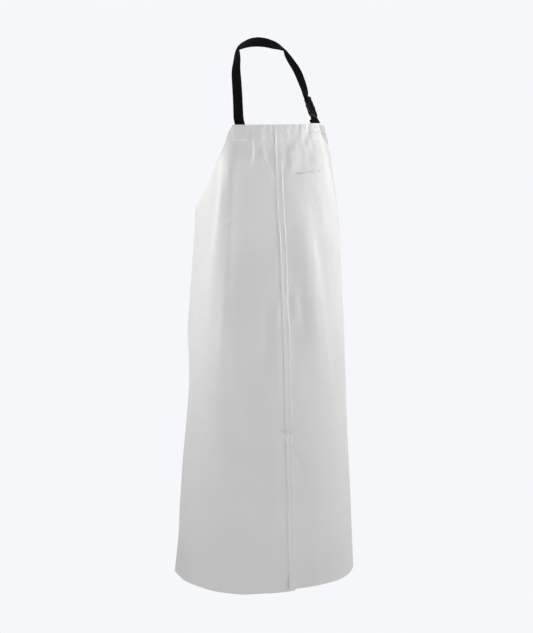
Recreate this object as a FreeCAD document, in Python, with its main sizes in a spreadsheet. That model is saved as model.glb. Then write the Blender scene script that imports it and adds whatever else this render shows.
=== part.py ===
import FreeCAD, Part
import math
import os
from FreeCAD import Vector as V

# Butcher's apron: a heavy coated-cloth bib apron made of two panels lapped down the
# centre front, held by an adjustable neck strap and a waist strap, each closed by a
# side-release buckle.  Millimetres, +Z up, the wearer faces -Y, the wearer's left
# is +X.  Origin: the inner face of the neck strap at the middle of the nape.

doc = FreeCAD.newDocument("ButcherApron")
sheet = doc.addObject("Spreadsheet::Sheet", "Sizes")

CELLS = [
    # overall
    ("apron_length", 1200.0), ("cloth_thick", 0.6), ("layer_gap", 0.3),
    ("nape_back", 164.3), ("nape_height", 208.0),
    ("lap_half", 8.5), ("tape_half", 12.0), ("facing_drop", 25.0), ("armhole_facing", 20.0),
    ("armhole_drop", 216.0),
    # shape of the cloth around the body at four heights (fractions of the length)
    ("level_a", 0.0), ("level_b", 0.175), ("level_c", 0.45), ("level_d", 1.0),
    ("bend_at_a", 116.3), ("bend_at_b", 164.3), ("bend_at_c", 190.0), ("bend_at_d", 201.9),
    ("bend_len_a", 38.0), ("bend_len_b", 17.2), ("bend_len_c", 67.7), ("bend_len_d", 115.0),
    ("bend_turn_a", 0.5328), ("bend_turn_b", 1.3414), ("bend_turn_c", 1.3932), ("bend_turn_d", 1.0948),
    ("front_curve_a", 0.0015987), ("front_curve_b", 0.0009338), ("front_curve_c", 0.0009332), ("front_curve_d", 0.0012397),
    ("front_step_a", 0.0), ("front_step_b", 7.1), ("front_step_c", 43.2), ("front_step_d", 95.2),
    # half width of the cut, measured along the cloth
    ("cut_half_a", 129.6), ("cut_half_b", 142.7), ("cut_half_c", 171.3), ("cut_half_d", 213.0),
    ("cut_half_e", 283.6), ("cut_half_f", 343.0), ("cut_half_hem", 386.9),
    # webbing
    ("web_width", 25.0), ("web_thick", 1.4), ("neck_exit", 102.0), ("sewn_depth", 28.0),
    ("patch_width", 38.0), ("patch_drop", 38.0),
    ("waist_drop", 238.0), ("waist_back", 245.0), ("neck_tail", 16.0), ("waist_tail", 120.0),
    # side-release buckle
    ("socket_width", 30.0), ("socket_long", 30.0), ("socket_thick", 9.4), ("rail_thick", 5.0),
    ("cavity_width", 24.0), ("cavity_thick", 5.6), ("cavity_floor", 9.0),
    ("window_low", 12.0), ("window_high", 24.0),
    ("slot_width", 26.4), ("bar_size", 3.0), ("bar_thick", 3.6), ("slot_high", 7.4),
    ("plug_width", 35.0), ("plug_start", 30.4), ("plug_shoulder", 36.6), ("plug_thick", 8.8), ("plug_long", 54.0),
    ("centre_bar_low", 41.5), ("end_bar_low", 48.5),
    ("pivot_side", 9.5), ("pivot_height", 32.6), ("pivot_round", 1.7), ("pivot_clear", 0.4),
    ("prong_thick", 4.8), ("prong_tip", 12.6), ("barb_out", 15.6), ("guide_half", 1.5),
    ("neck_lean", 43.0),
    # stitches
    ("stitch_len", 2.8), ("stitch_size", 0.5), ("stitch_pitch", 4.0),
]
for row, (alias, value) in enumerate(CELLS, start=1):
    sheet.set("A%d" % row, alias)
    sheet.set("B%d" % row, str(value))
    sheet.setAlias("B%d" % row, alias)
doc.recompute()


def cell(alias):
    return float(sheet.get(alias))


LENGTH = cell("apron_length")
CLOTH = cell("cloth_thick")
GAP = cell("layer_gap")
SHIFT = V(0, -cell("nape_back"), -cell("nape_height"))
WEB, WEBT = cell("web_width"), cell("web_thick")


# ---------------------------------------------------------------- cloth surface
def monotone(xs, ys):
    """A monotone cubic through the points, as a function."""
    n = len(xs)
    h = [xs[i + 1] - xs[i] for i in range(n - 1)]
    d = [(ys[i + 1] - ys[i]) / h[i] for i in range(n - 1)]
    m = [0.0] * n
    for i in range(1, n - 1):
        if d[i - 1] * d[i] > 0:
            w1, w2 = 2 * h[i] + h[i - 1], h[i] + 2 * h[i - 1]
            m[i] = (w1 + w2) / (w1 / d[i - 1] + w2 / d[i])

    def end(h0, h1, d0, d1):
        v = ((2 * h0 + h1) * d0 - h0 * d1) / (h0 + h1)
        if v * d0 <= 0:
            return 0.0
        if d0 * d1 <= 0 and abs(v) > abs(3 * d0):
            return 3 * d0
        return v

    m[0] = end(h[0], h[1], d[0], d[1])
    m[-1] = end(h[-1], h[-2], d[-1], d[-2])

    def f(x):
        x = min(max(x, xs[0]), xs[-1])
        i = 0
        while i < n - 2 and x > xs[i + 1]:
            i += 1
        u = (x - xs[i]) / h[i]
        return (
            (1 + 2 * u) * (1 - u) ** 2 * ys[i]
            + u * (1 - u) ** 2 * h[i] * m[i]
            + u * u * (3 - 2 * u) * ys[i + 1]
            + u * u * (u - 1) * h[i] * m[i + 1]
        )

    return f


LEVELS4 = [cell("level_" + k) for k in "abcd"]
bend_at = monotone(LEVELS4, [cell("bend_at_" + k) for k in "abcd"])
bend_len = monotone(LEVELS4, [cell("bend_len_" + k) for k in "abcd"])
bend_turn = monotone(LEVELS4, [cell("bend_turn_" + k) for k in "abcd"])
front_curve = monotone(LEVELS4, [cell("front_curve_" + k) for k in "abcd"])
front_step = monotone(LEVELS4, [cell("front_step_" + k) for k in "abcd"])
ARM = cell("armhole_drop") / LENGTH
arm_cut = monotone(
    [0.0, 0.04, 0.08, 0.12, 0.155, ARM], [cell("cut_half_" + k) for k in "abcdef"]
)


def cut_half(t):
    """Half the width of the cut cloth at a fraction t of the length."""
    if t < ARM:
        return arm_cut(t)
    a, b = cell("cut_half_f"), cell("cut_half_hem")
    return a + (b - a) * (t - ARM) / (1 - ARM)


_sections = {}


def section(t):
    """Points (x, y, angle) along the outer face at one height, every 2 mm from the centre."""
    key = round(t, 6)
    if key not in _sections:
        c, l, turn, k, y0 = bend_at(t), bend_len(t), bend_turn(t), front_curve(t), front_step(t)
        base = turn * 0.5 * (1 + math.tanh(-c / l))
        pts, x, y, step = [], 0.0, -y0, 2.0
        last = None
        for i in range(int(420 / step) + 1):
            s = i * step
            a = k * s + turn * 0.5 * (1 + math.tanh((s - c) / l)) - base
            if last is not None:
                mid = (a + last) / 2
                x += math.cos(mid) * step
                y += math.sin(mid) * step
            pts.append((x, y, a))
            last = a
        _sections[key] = pts
    return _sections[key]


def on_cloth(drop, s, depth=0.0):
    """The point at a drop below the top hem and a distance s along the cloth from the
    centre line (+ to the wearer's left), depth inside the outer face."""
    t = drop / LENGTH
    pts = section(t)
    q = abs(s) / 2.0
    i = min(int(q), len(pts) - 2)
    f = q - i
    x, y, a = (pts[i][j] * (1 - f) + pts[i + 1][j] * f for j in range(3))
    x -= math.sin(a) * depth
    y += math.cos(a) * depth
    if s < 0:
        x = -x
    return V(x, y, -drop) + SHIFT


def normal_at(drop, s):
    """Outward normal of the cloth, horizontal."""
    t = drop / LENGTH
    pts = section(t)
    a = pts[min(int(abs(s) / 2.0), len(pts) - 1)][2]
    n = V(math.sin(a), -math.cos(a), 0)
    if s < 0:
        n.x = -n.x
    return n


HEIGHTS = [0, 12, 25, 27, 40, 55, 70, 85, 100, 115, 130, 145, 160, 175, 190, 203, 216,
           228, 240, 252, 266, 290, 330, 380, 440, 510, 590, 680, 780, 880, 990, 1100, 1200]


def solid_of(shape):
    if shape.ShapeType != "Solid":
        shape = Part.Solid(shape.Shells[0])
    if shape.Volume < 0:
        shape.reverse()
    return shape


def cloth_strip(low, high, s_from, s_to, depth, thick=CLOTH, count=24):
    """A closed strip of cloth between two drops; s_from and s_to are functions of the drop."""
    wires = []
    for drop in [h for h in HEIGHTS if low <= h <= high]:
        a, b = s_from(drop), s_to(drop)
        row = [a + (b - a) * i / (count - 1) for i in range(count)]
        outer = [on_cloth(drop, s, depth) for s in row]
        inner = [on_cloth(drop, s, depth + thick) for s in reversed(row)]
        c1, c2 = Part.BSplineCurve(), Part.BSplineCurve()
        c1.interpolate(outer)
        c2.interpolate(inner)
        wires.append(
            Part.Wire([
                c1.toShape(),
                Part.makeLine(outer[-1], inner[0]),
                c2.toShape(),
                Part.makeLine(inner[-1], outer[0]),
            ])
        )
    return solid_of(Part.makeLoft(wires, True, True))


def feature(name, shape):
    obj = doc.addObject("Part::Feature", name)
    obj.Label = name
    obj.Shape = shape
    obj.Placement = FreeCAD.Placement()
    return obj


PARTS = []


def keep(obj):
    PARTS.append(obj)
    return obj


lap, tape = cell("lap_half"), cell("tape_half")
D1 = CLOTH + GAP  # the second layer's outer face
D2 = 2 * D1       # third layer
edge = lambda drop: cut_half(drop / LENGTH)

# wearer's left panel: on top at the lap
keep(feature("panel_left", cloth_strip(0, 1200, lambda d: -lap, edge, 0.0, count=30)))
# wearer's right panel: under the lap
keep(feature("panel_right", cloth_strip(0, 1200, lambda d: -edge(d), lambda d: lap, D1, count=30)))
keep(feature("centre_seam_tape", cloth_strip(27, 1200, lambda d: -tape, lambda d: tape, D2, count=6)))
keep(feature("top_hem_facing", cloth_strip(0, 25, lambda d: -edge(d) + 1.5, lambda d: edge(d) - 1.5, D2, count=24)))
af = cell("armhole_facing")
keep(feature("armhole_facing_left", cloth_strip(27, 203, lambda d: edge(d) - af, lambda d: edge(d) - 1.0, D2, count=8)))
keep(feature("armhole_facing_right", cloth_strip(27, 203, lambda d: -edge(d) + 1.0, lambda d: -edge(d) + af, D2, count=8)))


# ---------------------------------------------------------------- webbing
def unit(v):
    w = V(v)
    w.normalize()
    return w


def ribbon(points, sides, width=WEB, thick=WEBT):
    """Flat webbing along a run of points; sides are its width directions."""
    wires = []
    n = len(points)
    for i in range(n):
        tan = unit(points[min(i + 1, n - 1)] - points[max(i - 1, 0)])
        w = sides[i] - tan * sides[i].dot(tan)
        w.normalize()
        nrm = w.cross(tan)
        a, b = w * (width / 2), nrm * (thick / 2)
        p = points[i]
        wires.append(Part.makePolygon([p + a + b, p + a - b, p - a - b, p - a + b, p + a + b]))
    return solid_of(Part.makeLoft(wires, True, True))


def smooth(points, count):
    """Evenly spaced points on a smooth curve through the given ones."""
    c = Part.BSplineCurve()
    c.interpolate(points)
    return c.discretize(Number=count)


def slerp(a, b, f):
    a, b = unit(a), unit(b)
    dot = max(-1.0, min(1.0, a.dot(b)))
    ang = math.acos(dot)
    if ang < 1e-6:
        return a
    return a * (math.sin((1 - f) * ang) / math.sin(ang)) + b * (math.sin(f * ang) / math.sin(ang))


def ease(f):
    f = min(max(f, 0.0), 1.0)
    return f * f * (3 - 2 * f)


# neck buckle's place: its long axis follows the strap where it leaves the hem
neck_at = V(103.0, 27.8, 13.5) + SHIFT
neck_ez = unit(V(-8.0, 27.5, 50.7))
lean = math.radians(cell("neck_lean"))
neck_ex = V(math.cos(lean), math.sin(lean), 0)
neck_ex = unit(neck_ex - neck_ez * neck_ex.dot(neck_ez))
neck_ey = neck_ez.cross(neck_ex)


def place(at, ex, ey, ez):
    m = FreeCAD.Matrix(ex.x, ey.x, ez.x, at.x, ex.y, ey.y, ez.y, at.y, ex.z, ey.z, ez.z, at.z, 0, 0, 0, 1)
    return FreeCAD.Placement(m)


neck_place = place(neck_at, neck_ex, neck_ey, neck_ez)
neck_web = 3.3  # webbing centre line off the buckle's middle plane
bar_mid = cell("centre_bar_low") + cell("bar_size") / 2


def turn(place_, z_mid, radius, sign):
    """Points of a half turn round a bar, from the outer leg to the inner leg."""
    out = []
    for i in range(9):
        a = math.pi * i / 8
        out.append(place_.multVec(V(0, -radius * math.cos(a), z_mid + sign * radius * math.sin(a))))
    return out


# route of the neck strap: half of it, from the hem on one side to the nape, with the
# strap's width direction on each side (written for the wearer's left)
NECK_PATH = [(102.8, 16.5, -0.4), (100.8, 26.9, 15.4), (98.1, 37.5, 31.0), (95.4, 47.5, 46.8),
             (93.1, 56.1, 63.2), (91.4, 63.9, 79.9), (89.5, 72.7, 96.2), (87.2, 82.6, 111.7),
             (84.7, 93.0, 126.5), (80.7, 104.3, 141.4), (74.8, 117.0, 156.7), (70.1, 129.2, 171.2),
             (66.1, 139.8, 183.7), (56.3, 149.4, 193.4), (39.7, 157.6, 200.5), (20.3, 163.1, 206.0),
             (0.0, 164.97, 208.21)]
SIDE_RIGHT = [(0.95, 0.32, 0.0), (0.93, 0.36, -0.05), (0.90, 0.43, -0.10), (0.87, 0.47, -0.15),
              (0.85, 0.49, -0.17), (0.85, 0.50, -0.18), (0.85, 0.50, -0.19), (0.83, 0.52, -0.22),
              (0.78, 0.58, -0.26), (0.69, 0.66, -0.31), (0.58, 0.72, -0.39), (0.41, 0.75, -0.52),
              (0.20, 0.78, -0.59), (0.07, 0.73, -0.68), (0.0, 0.62, -0.785), (-0.04, 0.44, -0.90),
              (0.0, 0.30, -0.954)]
SIDE_LEFT = [(0.78, 0.59, -0.20), (0.78, 0.59, -0.20), (0.78, 0.59, -0.20), (0.78, 0.59, -0.20),
             (0.80, 0.57, -0.18), (0.89, 0.44, -0.12), (0.95, 0.30, -0.05), (0.97, 0.23, 0.0),
             (0.975, 0.21, 0.05), (0.96, 0.25, 0.11), (0.945, 0.31, 0.08), (0.915, 0.39, -0.08),
             (0.70, 0.68, -0.23), (0.30, 0.84, -0.45), (0.0, 0.67, -0.74), (-0.05, 0.46, -0.89),
             (0.0, 0.30, -0.954)]
_run = [0.0]
for _p, _q in zip(NECK_PATH[:-1], NECK_PATH[1:]):
    _run.append(_run[-1] + (V(*_q) - V(*_p)).Length)


def side_table(table):
    parts = [monotone(_run, [row[k] for row in table]) for k in range(3)]
    return lambda l: unit(V(*[f(l) for f in parts]))


side_right, side_left = side_table(SIDE_RIGHT), side_table(SIDE_LEFT)


def run_at(p):
    """How far along the half route a point of it lies."""
    best = None
    for i in range(len(NECK_PATH) - 1):
        a, b = V(*NECK_PATH[i]), V(*NECK_PATH[i + 1])
        u = max(0.0, min(1.0, (p - a).dot(b - a) / (b - a).dot(b - a)))
        d = (p - a - (b - a) * u).Length
        if best is None or d < best[0]:
            best = (d, _run[i] + u * (b - a).Length)
    return best[1]


sewn = cell("sewn_depth")
web_depth = D2 + CLOTH + 1.1 + WEBT / 2
exit_s = 103.4

# wearer's right end (-X): sewn inside the top hem
pts, sides = [], []
for drop in (sewn, 20.0, 10.0, 0.0):
    pts.append(on_cloth(drop, -exit_s, web_depth))
    a = normal_at(drop, -exit_s)
    sides.append(V(a.y, -a.x, 0))          # along the cloth, away from the centre
run = [V(-x, y, z) + SHIFT for x, y, z in NECK_PATH[1:]]
up = smooth([pts[-1]] + run, 46)[1:]
for p in up:
    q = p - SHIFT
    w = side_right(run_at(V(-q.x, q.y, q.z)))
    pts.append(p)
    sides.append(V(-w.x, w.y, w.z))
# over the nape and down to the ladder bar of the plug, entering on its inner side
down = [V(x, y, z) + SHIFT for x, y, z in reversed(NECK_PATH[5:-1])]
last2 = [neck_place.multVec(V(0, neck_web, z)) for z in (66.0, 58.0)]
back = smooth([up[-1]] + down + last2, 44)[1:]
for p in back:
    l = run_at(p - SHIFT)
    pts.append(p)
    sides.append(slerp(neck_ex, side_left(l), ease((l - 68.0) / 30.0)))
for z in (52.0, 46.0):
    pts.append(neck_place.multVec(V(0, neck_web, z)))
    sides.append(neck_ex)
for p in reversed(turn(neck_place, bar_mid, neck_web, -1)):
    pts.append(p)
    sides.append(neck_ex)
# the short tail lies on the outer side of the ladder's end bar
for z in (46.0, 50.0, 46.0 + cell("neck_tail")):
    pts.append(neck_place.multVec(V(0, -neck_web, z)))
    sides.append(neck_ex)
# a strap that doubles back keeps its width direction; the loft follows the turn
keep(feature("neck_strap", ribbon(pts, sides)))

# anchor loop on the wearer's left: up, round the socket's bar, and down again
radius = 3.2
pts, sides = [], []
tilt = normal_at(0.0, exit_s)
tilt = V(-tilt.y, tilt.x, 0)
for drop in (sewn, 20.0, 10.0):
    pts.append(on_cloth(drop, exit_s, web_depth))
    sides.append(tilt)
legs = []
for side, depth in ((-1, web_depth), (1, web_depth + WEBT + 0.35)):
    legs.append(smooth([on_cloth(4.0, exit_s, depth), on_cloth(1.0, exit_s, depth),
                        neck_place.multVec(V(0, side * radius, -4.5)), neck_place.multVec(V(0, side * radius, -1.0))], 9))
pts += legs[0]
sides += [slerp(tilt, neck_ex, ease(i / 8.0)) for i in range(9)]
for p in turn(neck_place, 1.5, radius, 1):
    pts.append(p)
    sides.append(neck_ex)
pts += list(reversed(legs[1]))
sides += [slerp(tilt, neck_ex, ease(1 - i / 8.0)) for i in range(9)]
for drop in (10.0, 20.0, sewn):
    pts.append(on_cloth(drop, exit_s, web_depth + WEBT + 0.35))
    sides.append(tilt)
keep(feature("neck_anchor_loop", ribbon(pts, sides)))

# patches over the sewn webbing ends, inside
pw, pd = cell("patch_width") / 2, cell("patch_drop")
HEIGHTS += [3.0, 38.0]
HEIGHTS.sort()
patch_depth = web_depth + WEBT / 2 + 0.4
keep(feature("neck_patch_right", cloth_strip(3, 38, lambda d: -exit_s - pw, lambda d: -exit_s + pw, patch_depth, count=6)))
keep(feature("neck_patch_left", cloth_strip(3, 38, lambda d: exit_s - pw, lambda d: exit_s + pw, patch_depth + WEBT + 0.35, count=6)))

# waist straps: sewn inside the side edge below the armhole, meeting at the back
wd, wb = cell("waist_drop"), cell("waist_back")
waist_at = V(27.0, wb, -wd) + SHIFT
waist_place = place(waist_at, V(0, 0, -1), V(0, -1, 0), V(-1, 0, 0))
waist_edge = edge(wd)
vertical = V(0, 0, -1)
for name, sign in (("waist_strap_left", 1), ("waist_strap_right", -1)):
    pts = [on_cloth(wd, sign * s, web_depth) for s in (waist_edge - 32, waist_edge - 20, waist_edge - 8, waist_edge + 2)]
    if sign > 0:
        leg = [waist_place.multVec(V(0, -radius, z)) for z in (-12.0, -4.0)]
        bend = turn(waist_place, 1.5, radius, 1)
        rest = [waist_place.multVec(V(0, radius, z)) for z in (-4.0, -14.0, -24.0, -34.0)]
    else:
        leg = [waist_place.multVec(V(0, -neck_web, z)) for z in (66.0, 52.0)]
        bend = turn(waist_place, bar_mid, neck_web, -1)
        rest = [waist_place.multVec(V(0, neck_web, z)) for z in (46.0, 56.0)]
    mid = [V(sign * x, y, -wd) + SHIFT for x, y in ((158, 205), (136, 223.5), (104, 237), (72, 244))]
    tilts = [unit(on_cloth(wd + 12, sign * s, web_depth) - on_cloth(wd - 12, sign * s, web_depth))
             for s in (waist_edge - 32, waist_edge - 20, waist_edge - 8, waist_edge + 2)]
    route = smooth([pts[-1]] + mid + leg, 30)
    if sign < 0:
        tail_run = [V(-54, wb - 3.6, -wd), V(-72, wb - 5.2, -wd), V(-104, 237 - 5.0, -wd), V(-127, 223.5, -wd)]
        rest = rest[:1] + smooth([rest[-1]] + [p + SHIFT for p in tail_run[1:]], 10)
    sides = tilts[:-1] + [slerp(tilts[-1], vertical, i / 9.0) if i < 9 else vertical for i in range(len(route))]
    pts = pts[:-1] + route + bend + rest
    sides += [vertical] * (len(pts) - len(sides))
    keep(feature(name, ribbon(pts, sides)))
HEIGHTS += [222.0, 254.0]
HEIGHTS.sort()
keep(feature("waist_patch_left", cloth_strip(222, 254, lambda d: waist_edge - 38, lambda d: waist_edge - 2, patch_depth + 0.5, count=8)))
keep(feature("waist_patch_right", cloth_strip(222, 254, lambda d: -waist_edge + 2, lambda d: -waist_edge + 38, patch_depth + 0.5, count=8)))


# ---------------------------------------------------------------- stitching
def stitch(at, along, out):
    """One thread length lying on the cloth."""
    l, d = cell("stitch_len"), cell("stitch_size")
    box = Part.makeBox(l, d, d, V(-l / 2, -d / 2, 0))
    x, z = unit(along), unit(out)
    y = z.cross(x)
    z = x.cross(y)
    box.Placement = place(at + out * 0.15, x, y, z)
    return box


def stitch_block(side, s_mid, drop_mid, w, h, outer):
    """A rectangle of stitches through a webbing end."""
    pitch = cell("stitch_pitch")
    out = []
    for row in (-h / 2, h / 2):
        n = int(w / pitch)
        for i in range(n):
            s = s_mid + (i - (n - 1) / 2) * pitch
            p = on_cloth(drop_mid + row, side * s, outer)
            q = on_cloth(drop_mid + row, side * (s + 1), outer)
            out.append(stitch(p, q - p, normal_at(drop_mid + row, side * s)))
    for col in (-w / 2 - 1, w / 2 + 1):
        n = int((h - 3) / pitch)
        for i in range(n):
            d = drop_mid + (i - (n - 1) / 2) * pitch
            p = on_cloth(d, side * (s_mid + col), outer)
            q = on_cloth(d + 1, side * (s_mid + col), outer)
            out.append(stitch(p, q - p, normal_at(d, side * (s_mid + col))))
    return Part.makeCompound(out)


keep(feature("neck_stitching_left", stitch_block(1, exit_s, 16.0, 20.0, 14.0, 0.0)))
keep(feature("neck_stitching_right", stitch_block(-1, exit_s, 16.0, 20.0, 14.0, D1)))
keep(feature("waist_stitching_left", stitch_block(1, waist_edge - 18, wd, 20.0, 18.0, 0.0)))
keep(feature("waist_stitching_right", stitch_block(-1, waist_edge - 18, wd, 20.0, 18.0, D1)))


# ---------------------------------------------------------------- buckles
def plane_of(body, role):
    return next(f for f in body.Origin.OriginFeatures if f.Role == role)


def new_sketch(body, name, role="XZ_Plane"):
    sk = body.newObject("Sketcher::SketchObject", name)
    sk.AttachmentSupport = (plane_of(body, role), [""])
    sk.MapMode = "FlatFace"
    return sk


def rectangle(sk, x0, x1, z0, z1):
    """A rectangle whose four sides are set by formulas on the sheet."""
    nums = [evaluate(e) for e in (x0, x1, z0, z1)]
    a, b, c, d = nums
    g = sk.GeometryCount
    import Sketcher
    for p, q in (((a, c), (b, c)), ((b, c), (b, d)), ((b, d), (a, d)), ((a, d), (a, c))):
        sk.addGeometry(Part.LineSegment(V(p[0], p[1], 0), V(q[0], q[1], 0)), False)
    for i in range(4):
        sk.addConstraint(Sketcher.Constraint("Coincident", g + i, 2, g + (i + 1) % 4, 1))
    sk.addConstraint(Sketcher.Constraint("Horizontal", g))
    sk.addConstraint(Sketcher.Constraint("Vertical", g + 1))
    sk.addConstraint(Sketcher.Constraint("Horizontal", g + 2))
    sk.addConstraint(Sketcher.Constraint("Vertical", g + 3))
    for kind, geo, end, number, text in (
        ("DistanceX", g, 1, a, x0), ("DistanceX", g, 2, b, x1),
        ("DistanceY", g, 1, c, z0), ("DistanceY", g + 2, 1, d, z1),
    ):
        i = sk.addConstraint(Sketcher.Constraint(kind, -1, 1, geo, end, number))
        sk.setExpression("Constraints[%d]" % i, as_formula(text))


def as_formula(text):
    """A sheet formula: names become references to the sheet's cells."""
    out, word = "", ""
    for ch in text + " ":
        if ch.isalpha() or ch == "_":
            word += ch
        else:
            if word:
                out += "Sizes." + word
                word = ""
            out += ch
    return out.strip()


def evaluate(text):
    """The value of such a formula: sums and differences of names and numbers."""
    total, sign = 0.0, 1.0
    for token in text.replace("-", " - ").replace("+", " + ").split():
        if token == "-":
            sign = -1.0
        elif token == "+":
            sign = 1.0
        else:
            parts = token.split("/")
            v = float(parts[0]) if parts[0][0].isdigit() else cell(parts[0])
            if len(parts) > 1:
                v /= float(parts[1])
            total += sign * v
            sign = 1.0
    return total


def pad(body, sk, name, alias):
    f = body.newObject("PartDesign::Pad", name)
    f.Profile = sk
    f.setExpression("Length", "Sizes." + alias)
    symmetric(f)
    sk.Visibility = False
    return f


def pocket(body, sk, name, alias):
    f = body.newObject("PartDesign::Pocket", name)
    f.Profile = sk
    f.setExpression("Length", "Sizes." + alias)
    symmetric(f)
    sk.Visibility = False
    return f


def symmetric(f):
    if hasattr(f, "SideType"):
        f.SideType = "Symmetric"
    else:
        f.Midplane = True


def socket_body(name, where):
    body = doc.addObject("PartDesign::Body", name)
    body.Label = name
    sk = new_sketch(body, name + "_outline")
    rectangle(sk, "-socket_width/2", "socket_width/2", "slot_high", "socket_long")
    pad(body, sk, name + "_shell", "socket_thick")
    sk = new_sketch(body, name + "_end_outline")
    rectangle(sk, "-socket_width/2", "socket_width/2", "0", "slot_high + 1")
    pad(body, sk, name + "_end", "rail_thick")
    sk = new_sketch(body, name + "_slot_sketch")
    rectangle(sk, "-slot_width/2", "slot_width/2", "0 - 1", "slot_high")
    pocket(body, sk, name + "_slot", "socket_thick")
    sk = new_sketch(body, name + "_bar_sketch")
    rectangle(sk, "-socket_width/2", "socket_width/2", "0", "bar_size")
    pad(body, sk, name + "_bar", "bar_thick")
    doc.recompute()
    sk = new_sketch(body, name + "_cavity_sketch")
    rectangle(sk, "-cavity_width/2", "cavity_width/2", "cavity_floor", "socket_long + 1")
    pocket(body, sk, name + "_cavity", "cavity_thick")
    for side in (1, -1):
        sk = new_sketch(body, name + ("_window_a" if side > 0 else "_window_b"))
        if side > 0:
            rectangle(sk, "cavity_width/2 - 1", "socket_width/2 + 1", "window_low", "window_high")
        else:
            rectangle(sk, "-socket_width/2 - 1", "-cavity_width/2 + 1", "window_low", "window_high")
        pocket(body, sk, name + ("_opening_a" if side > 0 else "_opening_b"), "cavity_thick")
    doc.recompute()
    round_edges(body, name, 1.3, 4.0)
    body.Placement = where
    return keep(body)


def round_edges(body, name, size, long_enough):
    """Round the long outer edges that run the length of the moulding."""
    base = body.Tip
    bb = base.Shape.BoundBox
    found = []
    for i, e in enumerate(base.Shape.Edges, start=1):
        if e.Length < long_enough or e.Curve.TypeId != "Part::GeomLine":
            continue
        p, q = e.Vertexes[0].Point, e.Vertexes[-1].Point
        d = q - p
        if abs(d.z) > 0.99 * e.Length and abs(abs(p.x) - bb.XMax) < 0.01 and abs(abs(p.y) - bb.YMax) < 0.01:
            found.append("Edge%d" % i)
    if not found:
        return
    f = body.newObject("PartDesign::Fillet", name + "_rounding")
    f.Base = (base, found)
    f.Radius = size
    doc.recompute()
    if "Invalid" in f.State or "Error" in f.State or f.Shape.isNull() or not f.Shape.isValid():
        raise RuntimeError("rounding failed on " + name)


def plug_body(name, where):
    body = doc.addObject("PartDesign::Body", name)
    body.Label = name
    sk = new_sketch(body, name + "_block_sketch")
    rectangle(sk, "-plug_width/2", "plug_width/2", "plug_start", "plug_shoulder")
    pad(body, sk, name + "_block", "plug_thick")
    sk = new_sketch(body, name + "_frame_sketch")
    rectangle(sk, "-plug_width/2", "plug_width/2", "plug_shoulder - 1", "plug_long")
    pad(body, sk, name + "_frame", "rail_thick")
    sk = new_sketch(body, name + "_ladder_sketch")
    rectangle(sk, "-slot_width/2", "slot_width/2", "plug_shoulder + 1", "plug_long + 1")
    pocket(body, sk, name + "_ladder_opening", "rail_thick")
    for k, base in (("centre", "centre_bar_low"), ("end", "end_bar_low")):
        sk = new_sketch(body, name + "_" + k + "_bar_sketch")
        rectangle(sk, "-plug_width/2 + 1", "plug_width/2 - 1", base, base + " + bar_size")
        pad(body, sk, name + "_" + k + "_bar", "bar_thick")
    sk = new_sketch(body, name + "_guide_sketch")
    rectangle(sk, "-guide_half", "guide_half", "prong_tip + 2", "plug_start + 1")
    pad(body, sk, name + "_guide", "bar_thick")
    # seats of the two spring prongs
    for side in (1, -1):
        sk = new_sketch(body, name + ("_seat_a" if side > 0 else "_seat_b"))
        if side > 0:
            rectangle(sk, "pivot_side - 2.6", "pivot_side + 2.6", "plug_start - 1", "pivot_height")
        else:
            rectangle(sk, "-pivot_side - 2.6", "-pivot_side + 2.6", "plug_start - 1", "pivot_height")
        pocket(body, sk, name + ("_seat_slot_a" if side > 0 else "_seat_slot_b"), "cavity_thick")
        sk = new_sketch(body, name + ("_seat_round_a" if side > 0 else "_seat_round_b"))
        import Sketcher
        sk.addGeometry(Part.Circle(V(side * cell("pivot_side"), cell("pivot_height"), 0), V(0, 0, 1),
                                   cell("pivot_round") + cell("pivot_clear")), False)
        i = sk.addConstraint(Sketcher.Constraint("Radius", 0, cell("pivot_round") + cell("pivot_clear")))
        sk.setExpression("Constraints[%d]" % i, "Sizes.pivot_round + Sizes.pivot_clear")
        i = sk.addConstraint(Sketcher.Constraint("DistanceX", -1, 1, 0, 3, side * cell("pivot_side")))
        sk.setExpression("Constraints[%d]" % i, ("" if side > 0 else "-") + "Sizes.pivot_side")
        i = sk.addConstraint(Sketcher.Constraint("DistanceY", -1, 1, 0, 3, cell("pivot_height")))
        sk.setExpression("Constraints[%d]" % i, "Sizes.pivot_height")
        pocket(body, sk, name + ("_seat_bore_a" if side > 0 else "_seat_bore_b"), "cavity_thick")
    doc.recompute()
    round_edges(body, name, 1.3, 4.0)
    body.Placement = where
    return keep(body)


def prong_body(name, where, side):
    """One spring prong: a round root in its seat, a shank and a barb."""
    import Sketcher
    body = doc.addObject("PartDesign::Body", name)
    body.Label = name
    px, pz, pr = cell("pivot_side"), cell("pivot_height"), cell("pivot_round")
    tip, out = cell("prong_tip"), cell("barb_out")
    sk = new_sketch(body, name + "_shape_sketch")
    pts = [(px - 1.5, pz), (px - 1.5, tip), (px + 0.6, tip), (out, tip + 6.0), (out, tip + 9.6),
           (px + 1.5, tip + 9.6), (px + 1.5, pz)]
    pts = [(side * x, z) for x, z in pts]
    n = len(pts)
    for i in range(n):
        a, b = pts[i], pts[(i + 1) % n]
        sk.addGeometry(Part.LineSegment(V(a[0], a[1], 0), V(b[0], b[1], 0)), False)
    for i in range(n):
        sk.addConstraint(Sketcher.Constraint("Coincident", i, 2, (i + 1) % n, 1))
    pad(body, sk, name + "_shank", "prong_thick")
    sk = new_sketch(body, name + "_root_sketch")
    sk.addGeometry(Part.Circle(V(side * px, pz, 0), V(0, 0, 1), pr), False)
    i = sk.addConstraint(Sketcher.Constraint("Radius", 0, pr))
    sk.setExpression("Constraints[%d]" % i, "Sizes.pivot_round")
    pad(body, sk, name + "_root", "prong_thick")
    doc.recompute()
    body.Placement = where
    return keep(body)


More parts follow.
